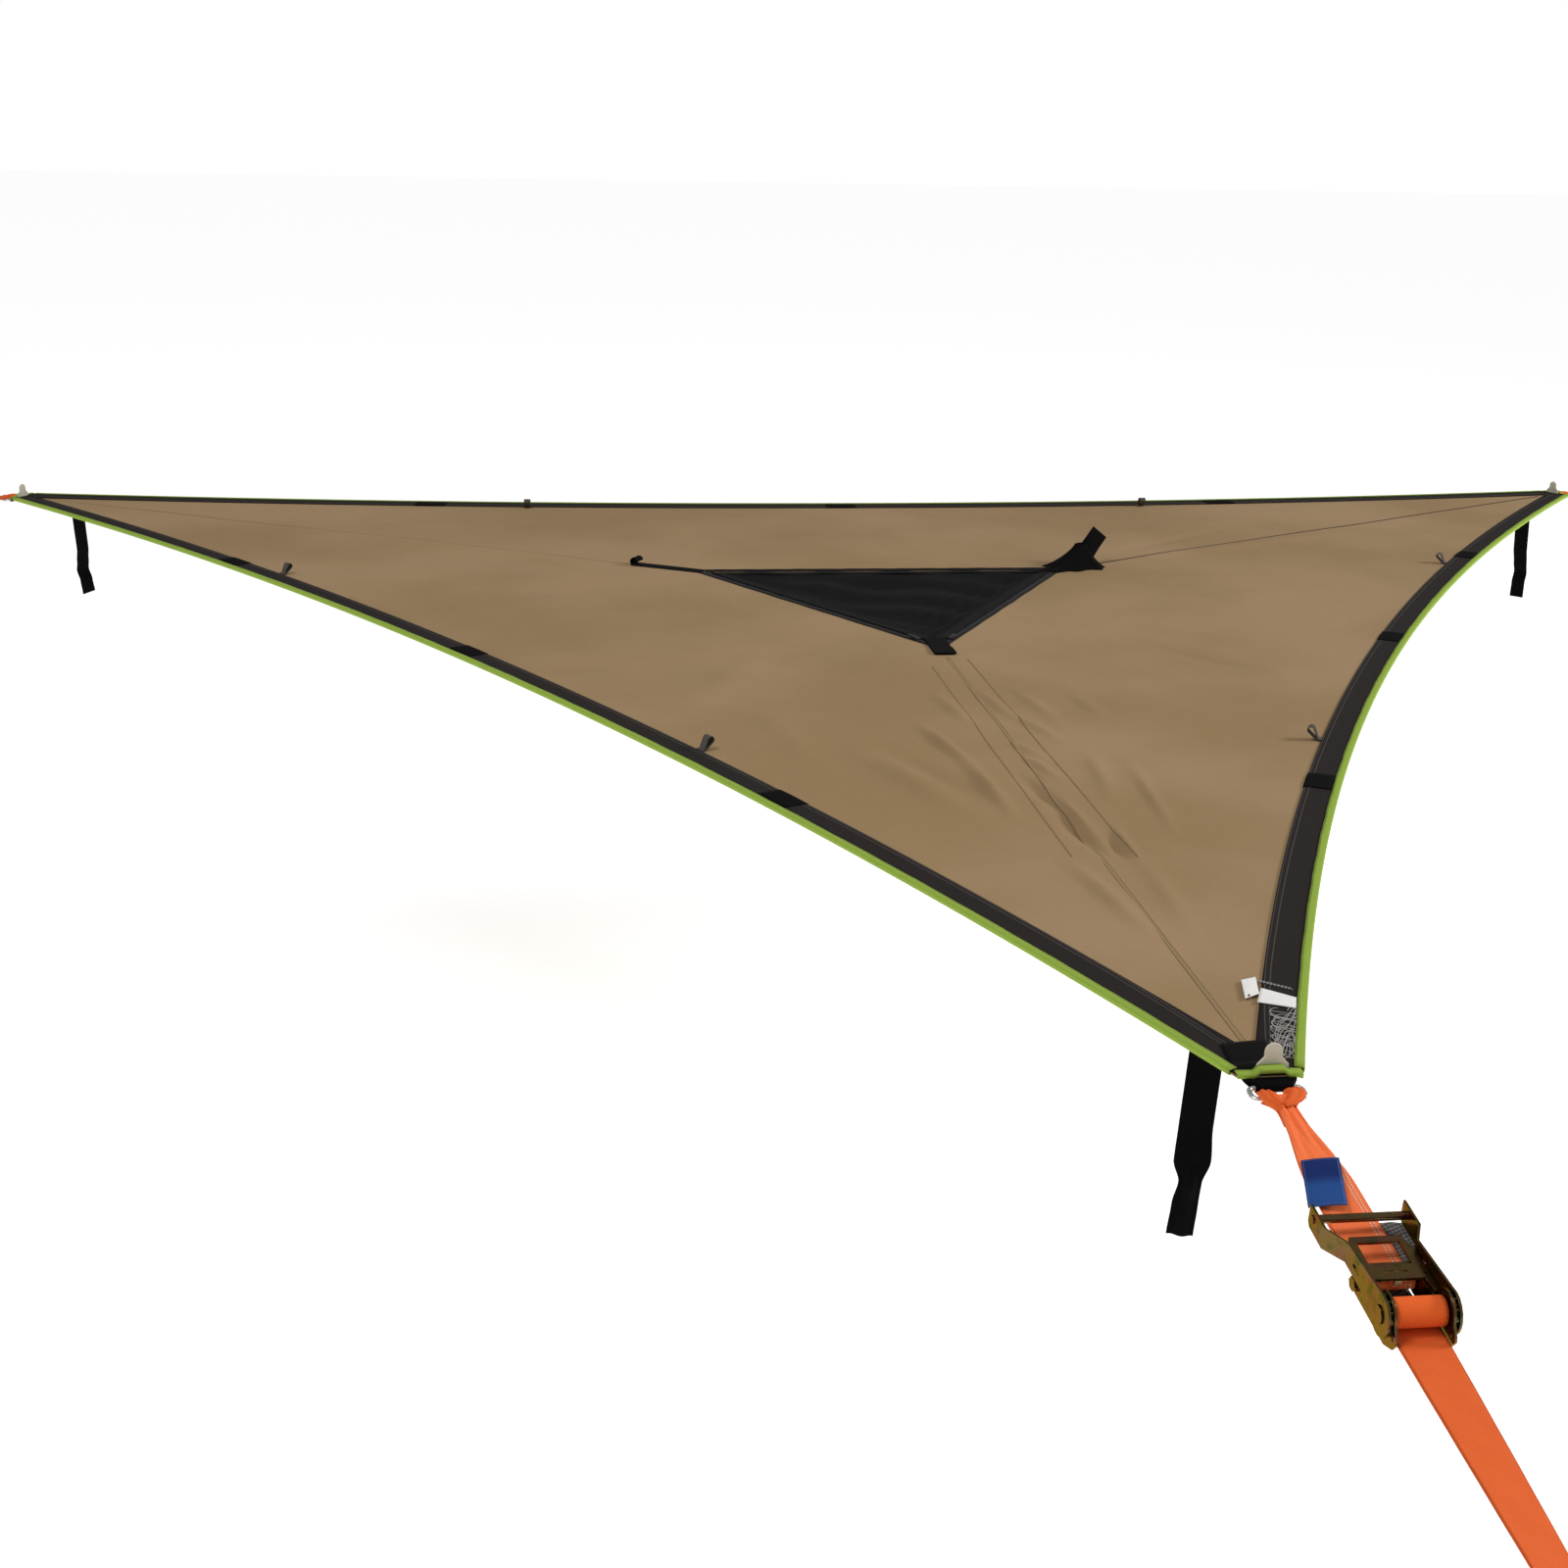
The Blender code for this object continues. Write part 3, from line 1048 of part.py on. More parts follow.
def build():
    """Builds the tent, its corners, the hatch and the near line's ratchet."""
    clear_scene()
    root = add_empty("tent")
    for name, index in SIDES.items():
        make_floor_panel("floor_panel_" + name, index, root)
        make_hem("hem_" + name, index, root)
        make_binding("edge_binding_" + name, index, root)
    gear_shares = {"right": (0.325, 0.720), "far": (0.300, 0.690), "left": (0.292, 0.676)}
    for name, index in SIDES.items():
        for number, share in enumerate(gear_shares[name], start=1):
            make_gear_loop(f"gear_loop_{name}_{number}", index, share, root)
    hang_lengths = {"near": NEAR_HANG_LENGTH, "right": RIGHT_HANG_LENGTH, "left": LEFT_HANG_LENGTH}
    folded_shares = (1.0, 1.0, 1.0, 1.06, 0.64, 0.74, 0.76)
    plain_shares = (1.0, 1.0, 0.98, 0.97, 0.96, 0.97, 0.99)
    hang_folds = {"near": folded_shares, "right": plain_shares, "left": plain_shares}
    for name, index in CORNERS.items():
        corner = add_empty(name + "_corner", rotation=(0, 0, radians(120 * index)), parent=root)
        make_corner_band(name + "_corner_band", corner)
        make_lug(name + "_lug", corner)
        make_corner_loop(name + "_corner_loop", corner)
        make_hanging_strap(name + "_hanging_strap", corner, hang_lengths[name], hang_folds[name])
        line = make_line(name, corner, NEAR_LINE_DROP if name == "near" else SIDE_LINE_DROP)
        if name == "near":
            make_near_short_strap("near_short_strap", line)
            make_label("strap_label", line)
            make_tree_strap("near_tree_strap", line)
            make_ratchet(line)
        else:
            make_side_line(name + "_strap", line)
    make_hatch(root)


if __name__ == "__main__":
    build()
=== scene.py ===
"""The looks of the tree tent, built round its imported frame.

Lengths are in metres. The origin is the centre of the floor, the near corner points to -Y and +Z is up.
Corner pieces are worked out at the near corner and turned about Z for the other two.
"""

import logging
from dataclasses import dataclass, field
from enum import Enum
from math import atan2, cos, exp, pi, radians, sin, sqrt, tau
from typing import Callable, Optional, Union

import bmesh
import bpy
from mathutils import Matrix, Vector


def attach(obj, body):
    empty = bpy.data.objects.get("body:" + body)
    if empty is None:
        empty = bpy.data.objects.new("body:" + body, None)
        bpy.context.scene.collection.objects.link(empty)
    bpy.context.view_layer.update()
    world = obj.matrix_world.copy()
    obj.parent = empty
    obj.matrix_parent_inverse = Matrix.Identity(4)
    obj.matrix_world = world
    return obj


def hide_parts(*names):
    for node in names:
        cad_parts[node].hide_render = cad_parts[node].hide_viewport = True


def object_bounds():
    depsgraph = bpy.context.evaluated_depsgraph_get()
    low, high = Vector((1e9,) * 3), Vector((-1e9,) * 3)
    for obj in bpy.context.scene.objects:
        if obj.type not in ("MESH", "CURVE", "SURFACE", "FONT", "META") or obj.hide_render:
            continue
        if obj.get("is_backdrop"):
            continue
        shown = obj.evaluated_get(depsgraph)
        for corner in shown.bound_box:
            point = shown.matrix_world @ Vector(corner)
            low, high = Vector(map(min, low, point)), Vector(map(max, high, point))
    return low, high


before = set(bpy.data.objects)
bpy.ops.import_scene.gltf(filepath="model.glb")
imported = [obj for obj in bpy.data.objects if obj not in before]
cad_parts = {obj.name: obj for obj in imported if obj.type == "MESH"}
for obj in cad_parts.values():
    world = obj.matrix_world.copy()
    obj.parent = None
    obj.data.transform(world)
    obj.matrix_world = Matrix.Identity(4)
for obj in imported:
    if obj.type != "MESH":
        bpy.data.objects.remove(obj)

LOG = logging.getLogger("tree_tent")
Colour = tuple[float, float, float]
Value = Union["Signal", float, tuple]
Rows = list[list[Vector]]
ACROSS = Vector((1, 0, 0))
UP = Vector((0, 0, 1))
SHARP_ANGLE = radians(32)
WELD_DISTANCE = 0.00005
MERGE_DISTANCE = 0.00001


def grey(level: float) -> Colour:
    """A colour without a hue."""
    return (level, level, level)


# Shader building


class Signal:
    """A shader socket that takes part in sums and products like a number or a colour."""

    def __init__(self, net: "Net", socket: bpy.types.NodeSocket) -> None:
        """Wraps one output socket of a net."""
        self.net = net
        self.socket = socket

    def __add__(self, other: Value) -> "Signal":
        """The sum."""
        return self.net.combine("ADD", self, other)

    def __radd__(self, other: Value) -> "Signal":
        """The sum, the other way round."""
        return self.net.combine("ADD", other, self)

    def __sub__(self, other: Value) -> "Signal":
        """The difference."""
        return self.net.combine("SUBTRACT", self, other)

    def __rsub__(self, other: Value) -> "Signal":
        """The difference, the other way round."""
        return self.net.combine("SUBTRACT", other, self)

    def __mul__(self, other: Value) -> "Signal":
        """The product."""
        return self.net.combine("MULTIPLY", self, other)

    def __rmul__(self, other: Value) -> "Signal":
        """The product, the other way round."""
        return self.net.combine("MULTIPLY", other, self)

    def __truediv__(self, other: Value) -> "Signal":
        """The quotient."""
        return self.net.combine("DIVIDE", self, other)

    def __rtruediv__(self, other: Value) -> "Signal":
        """The quotient, the other way round."""
        return self.net.combine("DIVIDE", other, self)

    def absolute(self) -> "Signal":
        """The size of a number without its sign."""
        return self.net.reckon("ABSOLUTE", self)


class Net:
    """A material's shader nodes."""

    def __init__(self, tree: bpy.types.NodeTree) -> None:
        """Takes the node tree that the nodes go into."""
        self.tree = tree

    def node(self, kind: str, settings: Optional[dict] = None,
             sockets: Optional[dict] = None) -> bpy.types.Node:
        """Makes one node.

        Args:
            kind: the node's type.
            settings: its properties, set before its sockets.
            sockets: values or signals by the input's name or number.

        Returns:
            The node.
        """
        made = self.tree.nodes.new(kind)
        for name, value in (settings or {}).items():
            setattr(made, name, value)
        for key, value in (sockets or {}).items():
            self.feed(made.inputs[key], value)
        return made

    def dress(self, name: str, value: Value) -> None:
        """Feeds an input of the Principled node."""
        self.feed(self.tree.nodes["Principled BSDF"].inputs[name], value)

    def feed(self, socket: bpy.types.NodeSocket, value: Value) -> None:
        """Links a signal to an input, or sets its plain value.

        Args:
            socket: the input.
            value: a signal or a plain value.
        """
        if isinstance(value, Signal):
            self.tree.links.new(value.socket, socket)
        elif socket.type == "RGBA":
            socket.default_value = (*(value if isinstance(value, tuple) else (value,) * 3), 1.0)
        elif socket.type == "VECTOR":
            socket.default_value = value if isinstance(value, tuple) else (value,) * 3
        else:
            socket.default_value = value

    def combine(self, operation: str, first: Value, second: Value) -> Signal:
        """Joins two numbers, vectors or colours with one operation.

        Args:
            operation: the node's operation.
            first: a signal or a plain value.
            second: a signal or a plain value.

        Returns:
            The node's output.
        """
        kinds = {value.socket.type for value in (first, second) if isinstance(value, Signal)}
        if "RGBA" in kinds:
            made = self.node("ShaderNodeMix", {"data_type": "RGBA", "blend_type": operation},
                             {0: 1.0, 6: first, 7: second})
            return Signal(self, made.outputs[2])
        if "VECTOR" in kinds:
            made = self.node("ShaderNodeVectorMath", {"operation": operation}, {0: first, 1: second})
            return Signal(self, made.outputs[0])
        return self.reckon(operation, first, second)

    def reckon(self, operation: str, *values: Value) -> Signal:
        """A sum on plain numbers."""
        made = self.node("ShaderNodeMath", {"operation": operation}, dict(enumerate(values)))
        return Signal(self, made.outputs[0])

    def mix(self, first: Value, second: Value, share: Value) -> Signal:
        """A colour between two, by a share from 0 to 1."""
        made = self.node("ShaderNodeMix", {"data_type": "RGBA"}, {0: share, 6: first, 7: second})
        return Signal(self, made.outputs[2])

    def place(self) -> Signal:
        """Where a point is, in metres."""
        return Signal(self, self.node("ShaderNodeTexCoord").outputs["Object"])

    def cloth_place(self) -> tuple[Signal, Signal]:
        """Metres along and across a piece's cloth, from its own UV map.

        Returns:
            The signals along and across.
        """
        made = self.node("ShaderNodeTexCoord")
        along, across, _ = self.split(Signal(self, made.outputs["UV"]))
        return along, across

    def split(self, vector: Signal) -> tuple[Signal, Signal, Signal]:
        """A vector's three numbers."""
        made = self.node("ShaderNodeSeparateXYZ", None, {0: vector})
        return tuple(Signal(self, output) for output in made.outputs)

    def noise(self, vector: Signal, scale: float, detail: float = 2.0) -> Signal:
        """Cloudy noise from about 0.3 to 0.7."""
        made = self.node("ShaderNodeTexNoise", None, {"Vector": vector, "Scale": scale, "Detail": detail})
        return Signal(self, made.outputs["Fac"])

    def wave(self, distance: Signal, period: float) -> Signal:
        """A sine from 0 to 1 that repeats every period."""
        return self.reckon("SINE", distance * (tau / period)) * 0.5 + 0.5

    def ramp(self, value: Value, low: float, high: float, start: float = 0.0, end: float = 1.0) -> Signal:
        """Eases from start to end while a value goes from low to high.

        Args:
            value: the signal to follow.
            low: its value at the start.
            high: its value at the end.
            start: the result at the start.
            end: the result at the end.

        Returns:
            The eased signal.
        """
        made = self.node("ShaderNodeMapRange", {"interpolation_type": "SMOOTHSTEP"},
                         {0: value, 1: low, 2: high, 3: start, 4: end})
        return Signal(self, made.outputs[0])

    def band(self, value: Signal, middle: float, half: float) -> Signal:
        """One within half of a middle, falling to 0 outside it."""
        return self.ramp((value - middle).absolute(), half * 0.6, half, 1.0, 0.0)

    def dashes(self, along: Signal, period: float, share: float) -> Signal:
        """One for a share of each period and 0 between."""
        return self.reckon("LESS_THAN", self.reckon("FRACT", along / period), share)

    def bump(self, height: Signal, depth: float) -> Signal:
        """A bumped normal, with a depth in metres for a height of 1."""
        made = self.node("ShaderNodeBump", None, {"Strength": 1.0, "Distance": depth, "Height": height})
        return Signal(self, made.outputs[0])


# Finishes


@dataclass(frozen=True)
class Finish:
    """A surface's look. Each kind shades its own way."""

    name: str
    colour: Colour
    roughness: float = 0.8
    gloss: float = 0.12

    def material(self) -> bpy.types.Material:
        """The finish as a material, made once and then shared.

        Returns:
            The material.
        """
        found = bpy.data.materials.get(self.name)
        if found:
            return found
        made = bpy.data.materials.new(self.name)
        made.use_nodes = True
        net = Net(made.node_tree)
        net.dress("Roughness", self.roughness)
        net.dress("Specular IOR Level", self.gloss)
        self.shade(net)
        return made

    def shade(self, net: Net) -> None:
        """A fine grain over the plain colour.

        Args:
            net: the material's shader nodes.
        """
        grain = net.noise(net.place(), 900.0)
        net.dress("Base Color", net.mix(self.colour, grey(0.0), grain * 0.3))
        net.dress("Normal", net.bump(grain, 0.0002))


@dataclass(frozen=True)
class ClothFinish(Finish):
    """Plain woven cloth with a weave, cloudy shade and fine creases."""

    second: Colour = (0.33, 0.24, 0.15)
    thread: float = 0.0011
    crease: float = 0.0035

    def shade(self, net: Net) -> None:
        """Crossed threads, large cloudy patches of lighter and darker tan, and creases that run in all
        directions.

        Args:
            net: the material's shader nodes.
        """
        place = net.place()
        x, y, _ = net.split(place)
        threads = net.wave(x, self.thread) * net.wave(y, self.thread)
        clouds = net.noise(place, 1.7, 4.0)
        grain = net.noise(place, 420.0, 3.0)
        colour = net.mix(self.colour, self.second, net.ramp(clouds, 0.35, 0.65))
        colour = colour * net.mix(grey(0.86), grey(1.08), grain)
        colour = colour * net.mix(grey(1.0), grey(0.90), threads)
        creases = net.noise(place, 9.0, 5.0) + net.noise(place, 31.0, 3.0) * 0.3
        net.dress("Base Color", colour)
        net.dress("Roughness", grain * 0.2 + (self.roughness - 0.1))
        net.dress("Normal", net.bump(creases + threads * 0.02 + grain * 0.02, self.crease))


@dataclass(frozen=True)
class WebbingFinish(Finish):
    """Woven tape with ribs across it, selvages and rows of stitches."""

    dark: Colour = grey(0.0)
    width: float = 0.05
    rib: float = 0.0022
    contrast: float = 0.35
    stitch_rows: tuple[float, ...] = ()
    stitch_ends: tuple[float, ...] = ()
    stitch: Colour = (0.35, 0.33, 0.30)

    def shade(self, net: Net) -> None:
        """Ribs and a twill across the tape, darker selvages, dashes of thread.

        Args:
            net: the material's shader nodes.
        """
        along, across = net.cloth_place()
        away = (across - self.width / 2).absolute()
        ribs = net.wave(along + away * 0.5, self.rib)
        twill = net.wave(across, self.rib * 0.9)
        worn = net.noise(net.place(), 55.0, 4.0)
        fuzz = net.noise(net.place(), 800.0)
        edge = net.ramp(away, self.width / 2 - 0.0022, self.width / 2 - 0.0004)
        weave = ribs * 0.7 + twill * 0.3
        colour = net.mix(self.colour, self.dark, (1.0 - weave) * self.contrast + worn * 0.2)
        colour = colour * net.mix(grey(1.06), grey(0.72), edge * 0.8 + fuzz * 0.2)
        thread = None
        for row in self.stitch_rows:
            line = net.band(across, row, 0.0009) * net.dashes(along, 0.0042, 0.7)
            thread = line if thread is None else net.reckon("MAXIMUM", thread, line)
        for place in self.stitch_ends:
            line = net.band(along, place, 0.0009) * net.dashes(across, 0.0042, 0.7)
            thread = line if thread is None else net.reckon("MAXIMUM", thread, line)
        height = weave * 0.6 + fuzz * 0.25 + worn * 0.8
        if thread is not None:
            colour = net.mix(colour, self.stitch, thread)
            height = height + thread
        net.dress("Base Color", colour)
        net.dress("Normal", net.bump(height, 0.0005))


@dataclass(frozen=True)
class ZipFinish(Finish):
    """Zip tape with a coil of teeth down its middle."""

    width: float = 0.018
    coil: Colour = (0.035, 0.036, 0.040)

    def shade(self, net: Net) -> None:
        """Fine woven tape, teeth across the coil and a stitch row on each side.

        Args:
            net: the material's shader nodes.
        """
        along, across = net.cloth_place()
        coil = net.band(across, self.width / 2, 0.0032)
        teeth = net.wave(along, 0.0016)
        grain = net.noise(net.place(), 500.0)
        rows = net.band(across, 0.002, 0.0007) + net.band(across, self.width - 0.003, 0.0007)
        thread = rows * net.dashes(along, 0.004, 0.7)
        colour = net.mix(self.colour, grey(0.002), grain * 0.6)
        colour = net.mix(colour, self.coil, coil * teeth)
        colour = net.mix(colour, grey(0.06), thread)
        net.dress("Base Color", colour)
        net.dress("Roughness", 0.75 - coil * 0.3)
        net.dress("Normal", net.bump(coil * teeth + grain * 0.2 + thread, 0.0005))


@dataclass(frozen=True)
class MeshFinish(Finish):
    """Fine insect mesh, nearly closed at this distance."""

    pitch: float = 0.0013

    def shade(self, net: Net) -> None:
        """Threads both ways with small holes, and a faint painted sheen in the folds.

        Args:
            net: the material's shader nodes.
        """
        x, y, _ = net.split(net.place())
        holes = net.ramp(net.wave(x, self.pitch) * net.wave(y, self.pitch), 0.45, 0.75)
        folds = net.noise(net.place(), 16.0, 3.0)
        # Painted sheen: the base colour lifts to a lighter black where the fold noise is high.
        net.dress("Base Color", net.mix(self.colour, (0.0075, 0.0064, 0.0062), folds))
        net.dress("Alpha", 1.0 - holes * 0.06)
        net.dress("Normal", net.bump(folds + holes * 0.1, 0.004))


@dataclass(frozen=True)
class MetalFinish(Finish):
    """Plated metal with patches of other tints, scratches and scuffs."""

    second: Colour = (0.62, 0.40, 0.38)
    third: Colour = (0.38, 0.50, 0.36)
    tint: float = 1.0
    patch: float = 38.0
    edge: Colour = grey(1.0)

    def shade(self, net: Net) -> None:
        """Tints that drift over the plating, fine scratches and duller scuffs.

        Args:
            net: the material's shader nodes.
        """
        place = net.place()
        drift = net.noise(place, self.patch, 3.0)
        other = net.noise(place + (3.1, 1.7, 0.4), self.patch * 1.6, 2.0)
        colour = net.mix(self.colour, self.second, net.ramp(drift, 0.46, 0.62) * self.tint)
        colour = net.mix(colour, self.third, net.ramp(other, 0.50, 0.66) * self.tint)
        scratches = net.noise(place * (300.0, 2200.0, 300.0), 1.0, 2.0)
        scuffs = net.noise(place, 210.0, 4.0)
        colour = colour * net.mix(grey(0.80), grey(1.1), scratches)
        net.dress("Base Color", colour)
        net.dress("Roughness", scuffs * 0.3 + (self.roughness - 0.15))
        net.dress("Normal", net.bump(scratches * 0.4 + scuffs, 0.0001))
        net.dress("Metallic", 1.0)
        net.dress("Specular Tint", self.edge)


@dataclass(frozen=True)
class PlasticFinish(Finish):
    """Milky moulded plastic."""

    def shade(self, net: Net) -> None:
        """Cloudy depth, a few scuffs and a soft gloss.

        Args:
            net: the material's shader nodes.
        """
        clouds = net.noise(net.place(), 90.0, 3.0)
        scuffs = net.noise(net.place(), 700.0, 2.0)
        net.dress("Base Color", net.mix(self.colour, (0.45, 0.41, 0.33), clouds * 0.6))
        net.dress("Roughness", scuffs * 0.4 + (self.roughness - 0.2))
        net.dress("Normal", net.bump(scuffs, 0.0001))
        net.dress("Subsurface Weight", 0.25)
        net.dress("Subsurface Scale", 0.003)


@dataclass(frozen=True)
class LabelFinish(Finish):
    """Smooth woven label, left bare, with a stitch row round its edge."""

    width: float = 0.038
    length: float = 0.080
    lower: Colour = (0.016, 0.085, 0.330)

    def shade(self, net: Net) -> None:
        """Darker towards the top, satin threads and edge stitches.

        Args:
            net: the material's shader nodes.
        """
        along, across = net.cloth_place()
        satin = net.wave(across, 0.0007)
        clouds = net.noise(net.place(), 60.0, 3.0)
        colour = net.mix(self.colour, self.lower, net.ramp(along, self.length * 0.35, self.length * 0.6))
        colour = net.mix(colour, (0.0, 0.01, 0.05), satin * 0.2 + clouds * 0.25)
        inset = 0.002
        sides = net.band(across, inset, 0.0006) + net.band(across, self.width - inset, 0.0006)
        ends = net.band(along, inset, 0.0006) + net.band(along, self.length - inset, 0.0006)
        thread = sides * net.dashes(along, 0.0036, 0.65) + ends * net.dashes(across, 0.0036, 0.65)
        net.dress("Base Color", net.mix(colour, (0.08, 0.17, 0.42), thread))
        net.dress("Normal", net.bump(satin * 0.3 + thread + clouds, 0.0004))


class Look(Enum):
    """The tent's finishes."""

    FLOOR = ClothFinish("tan_floor_cloth", (0.309, 0.203, 0.100), second=(0.366, 0.243, 0.132))
    SEAM = WebbingFinish("tan_seam", (0.306, 0.206, 0.103), dark=(0.26, 0.175, 0.09), width=0.008,
                         contrast=0.1, stitch_rows=(0.0015, 0.0065), stitch=(0.21, 0.142, 0.072))
    ROW = WebbingFinish("stitched_row", (0.306, 0.207, 0.104), dark=(0.26, 0.175, 0.09), width=0.004,
                        contrast=0.1, stitch_rows=(0.002,), stitch=(0.20, 0.135, 0.068))
    DARK_SEAM = WebbingFinish("brown_seam", (0.075, 0.050, 0.032), dark=(0.02, 0.012, 0.008), width=0.008,
                              stitch_rows=(0.004,), stitch=(0.12, 0.08, 0.05))
    HEM = WebbingFinish("charcoal_hem", (0.0205, 0.0162, 0.0142), dark=(0.008, 0.0065, 0.006), rib=0.0028,
                        stitch_rows=(0.0415, 0.0480), stitch=(0.10, 0.09, 0.08))
    LIME = WebbingFinish("lime_binding_cloth", (0.300, 0.430, 0.060), dark=(0.20, 0.30, 0.035), width=0.030,
                         rib=0.0018, stitch_rows=(0.0022,), stitch=(0.21, 0.31, 0.04))
    BLACK = WebbingFinish("black_webbing_cloth", (0.0030, 0.0024, 0.0030), 0.9, 0.06, dark=grey(0.001),
                          width=0.042)
    KEEPER = WebbingFinish("keeper_cloth", (0.0040, 0.0034, 0.0036), 0.9, 0.06, dark=grey(0.002), width=0.075,
                           stitch_rows=(0.003, 0.072), stitch=grey(0.02))
    ORANGE = WebbingFinish("orange_webbing_cloth", (0.82, 0.143, 0.031), dark=(0.56, 0.075, 0.014),
                           contrast=0.25)
    WOUND = WebbingFinish("wound_orange_cloth", (0.88, 0.148, 0.027), dark=(0.62, 0.073, 0.010),
                          contrast=0.28)
    SEWN = WebbingFinish("sewn_orange_cloth", (0.97, 0.205, 0.066), dark=(0.82, 0.130, 0.032), contrast=0.20,
                         stitch_rows=(0.041, 0.045), stitch=(0.85, 0.55, 0.42))
    GREY = WebbingFinish("grey_tape", (0.115, 0.100, 0.090), dark=(0.04, 0.035, 0.03), width=0.016,
                         rib=0.0016)
    SLEEVE = WebbingFinish("grey_sleeve", (0.17, 0.165, 0.155), dark=(0.035, 0.034, 0.034), width=0.050,
                           rib=0.0052, contrast=0.95)
    BORDER = WebbingFinish("flap_border", (0.0065, 0.0055, 0.0055), dark=grey(0.002), width=0.020,
                           stitch_rows=(0.003, 0.017), stitch=grey(0.03))
    PATCH = WebbingFinish("corner_patch", (0.0050, 0.0042, 0.0040), 0.9, 0.08, dark=grey(0.003), width=0.06,
                          stitch_rows=(0.003, 0.057), stitch=grey(0.03))
    TAB = WebbingFinish("hatch_tab_cloth", (0.0060, 0.0052, 0.0054), 0.9, 0.08, dark=grey(0.002), width=0.040)
    HINGE = WebbingFinish("hatch_hem_cloth", (0.0085, 0.0075, 0.0075), 0.9, 0.08, dark=grey(0.003),
                          width=0.022, stitch_rows=(0.003, 0.019), stitch=grey(0.03))
    ZIP = ZipFinish("dark_zip", (0.0065, 0.0065, 0.0075), 0.8, 0.15)
    MESH = MeshFinish("insect_mesh", (0.0022, 0.0018, 0.0019), 0.80, 0.10)
    TAG = Finish("white_tag", (0.95, 0.94, 0.91))
    EYELET = Finish("tag_eyelet", (0.10, 0.05, 0.02))
    THREAD = Finish("grey_thread", (0.42, 0.40, 0.38))
    LABEL = LabelFinish("bare_label", (0.002, 0.022, 0.155), 0.5, 0.15)
    LUG = PlasticFinish("milky_plastic", (0.62, 0.57, 0.45), 0.45, 0.5)
    ZINC = MetalFinish("yellow_zinc", (0.165, 0.113, 0.048), 0.26, 0.5, second=(0.185, 0.082, 0.056),
                       third=(0.086, 0.090, 0.042), edge=(0.66, 0.50, 0.33))
    STEEL = MetalFinish("ring_steel_bright", (0.74, 0.73, 0.70), 0.30, 0.5, second=(0.52, 0.50, 0.47),
                        third=(0.60, 0.58, 0.55), tint=0.6, patch=120.0)
    SPRING = MetalFinish("spring_wire", (0.55, 0.54, 0.52), 0.35, 0.5, tint=0.2)
    SLIDER = MetalFinish("slider_paint", (0.055, 0.056, 0.060), 0.45, 0.5, second=(0.035, 0.035, 0.04),
                         third=(0.08, 0.08, 0.085), tint=0.5)


# Shaping


def cloth(name: str, rows: Rows, thickness: float, up: Vector = UP,
          weld: bool = False) -> bpy.types.Object:
    """A piece of cloth through rows of points.

    Args:
        name: the piece's name.
        rows: mid-cloth points row by row along the piece, each row running across it.
        thickness: the cloth's thickness.
        up: the side that the first face looks to.
        weld: whether meeting edges are joined.

    Returns:
        The object, with a UV map in metres along and across the cloth.
    """
    count = len(rows)
    across = len(rows[0])
    middle = across // 2
    along_at = [0.0]
    for before, after in zip(rows, rows[1:]):
        along_at.append(along_at[-1] + (after[middle] - before[middle]).length)
    across_at = []
    for row in rows:
        line = [0.0]
        for before, after in zip(row, row[1:]):
            line.append(line[-1] + (after - before).length)
        across_at.append(line)
    bm = bmesh.new()
    bmesh.ops.create_grid(bm, x_segments=count - 1, y_segments=across - 1, size=0.5)
    uv = bm.loops.layers.uv.new("cloth")
    index = {vert: (round((vert.co.x + 0.5) * (count - 1)), round((vert.co.y + 0.5) * (across - 1)))
             for vert in bm.verts}
    for face in bm.faces:
        for loop in face.loops:
            i, j = index[loop.vert]
            loop[uv].uv = (along_at[i], across_at[i][j])
    for vert, (i, j) in index.items():
        vert.co = rows[i][j]
    bm.normal_update()
    bm.faces.ensure_lookup_table()
    if bm.faces[0].normal.dot(up) < 0:
        bmesh.ops.reverse_faces(bm, faces=bm.faces)
    if weld:
        bmesh.ops.remove_doubles(bm, verts=bm.verts, dist=WELD_DISTANCE)
        bmesh.ops.recalc_face_normals(bm, faces=bm.faces)
    obj = as_object(name, bm)
    if thickness:
        solidify = obj.modifiers.new("thickness", "SOLIDIFY")
        solidify.thickness = thickness
        solidify.offset = 0.0
    return obj


def as_object(name: str, bm: bmesh.types.BMesh, sharp: float = pi) -> bpy.types.Object:
    """Turns a bmesh into a smooth object in the scene.

    Args:
        name: the object's name.
        bm: its mesh, which is freed.
        sharp: the angle from which an edge stays sharp.

    Returns:
        The object.
    """
    mesh = bpy.data.meshes.new(name)
    bm.to_mesh(mesh)
    bm.free()
    mesh.shade_smooth()
    if sharp < pi:
        mesh.set_sharp_from_angle(angle=sharp)
    obj = bpy.data.objects.new(name, mesh)
    bpy.context.scene.collection.objects.link(obj)
    return obj


def tube(name: str, path: list[Vector], radius: float, closed: bool, sides: int = 12) -> bpy.types.Object:
    """A round bar along a path.

    Args:
        name: the object's name.
        path: points along its middle.
        radius: the bar's radius.
        closed: whether its end joins its start.
        sides: how many sides it has.

    Returns:
        The object.
    """
    rows = []
    count = len(path)
    angles = [tau * share for share in shares(sides)]
    for i, point in enumerate(path):
        after = path[(i + 1) % count] if closed else path[min(i + 1, count - 1)]
        before = path[i - 1] if closed else path[max(i - 1, 0)]
        along = (after - before).normalized()
        side = (side - along * side.dot(along) if rows else along.orthogonal()).normalized()
        other = along.cross(side)
        rows.append([point + (side * cos(angle) + other * sin(angle)) * radius for angle in angles])
    if closed:
        rows.append(list(rows[0]))
    return cloth(name, rows, 0.0, up=(rows[0][0] - path[0]), weld=True)


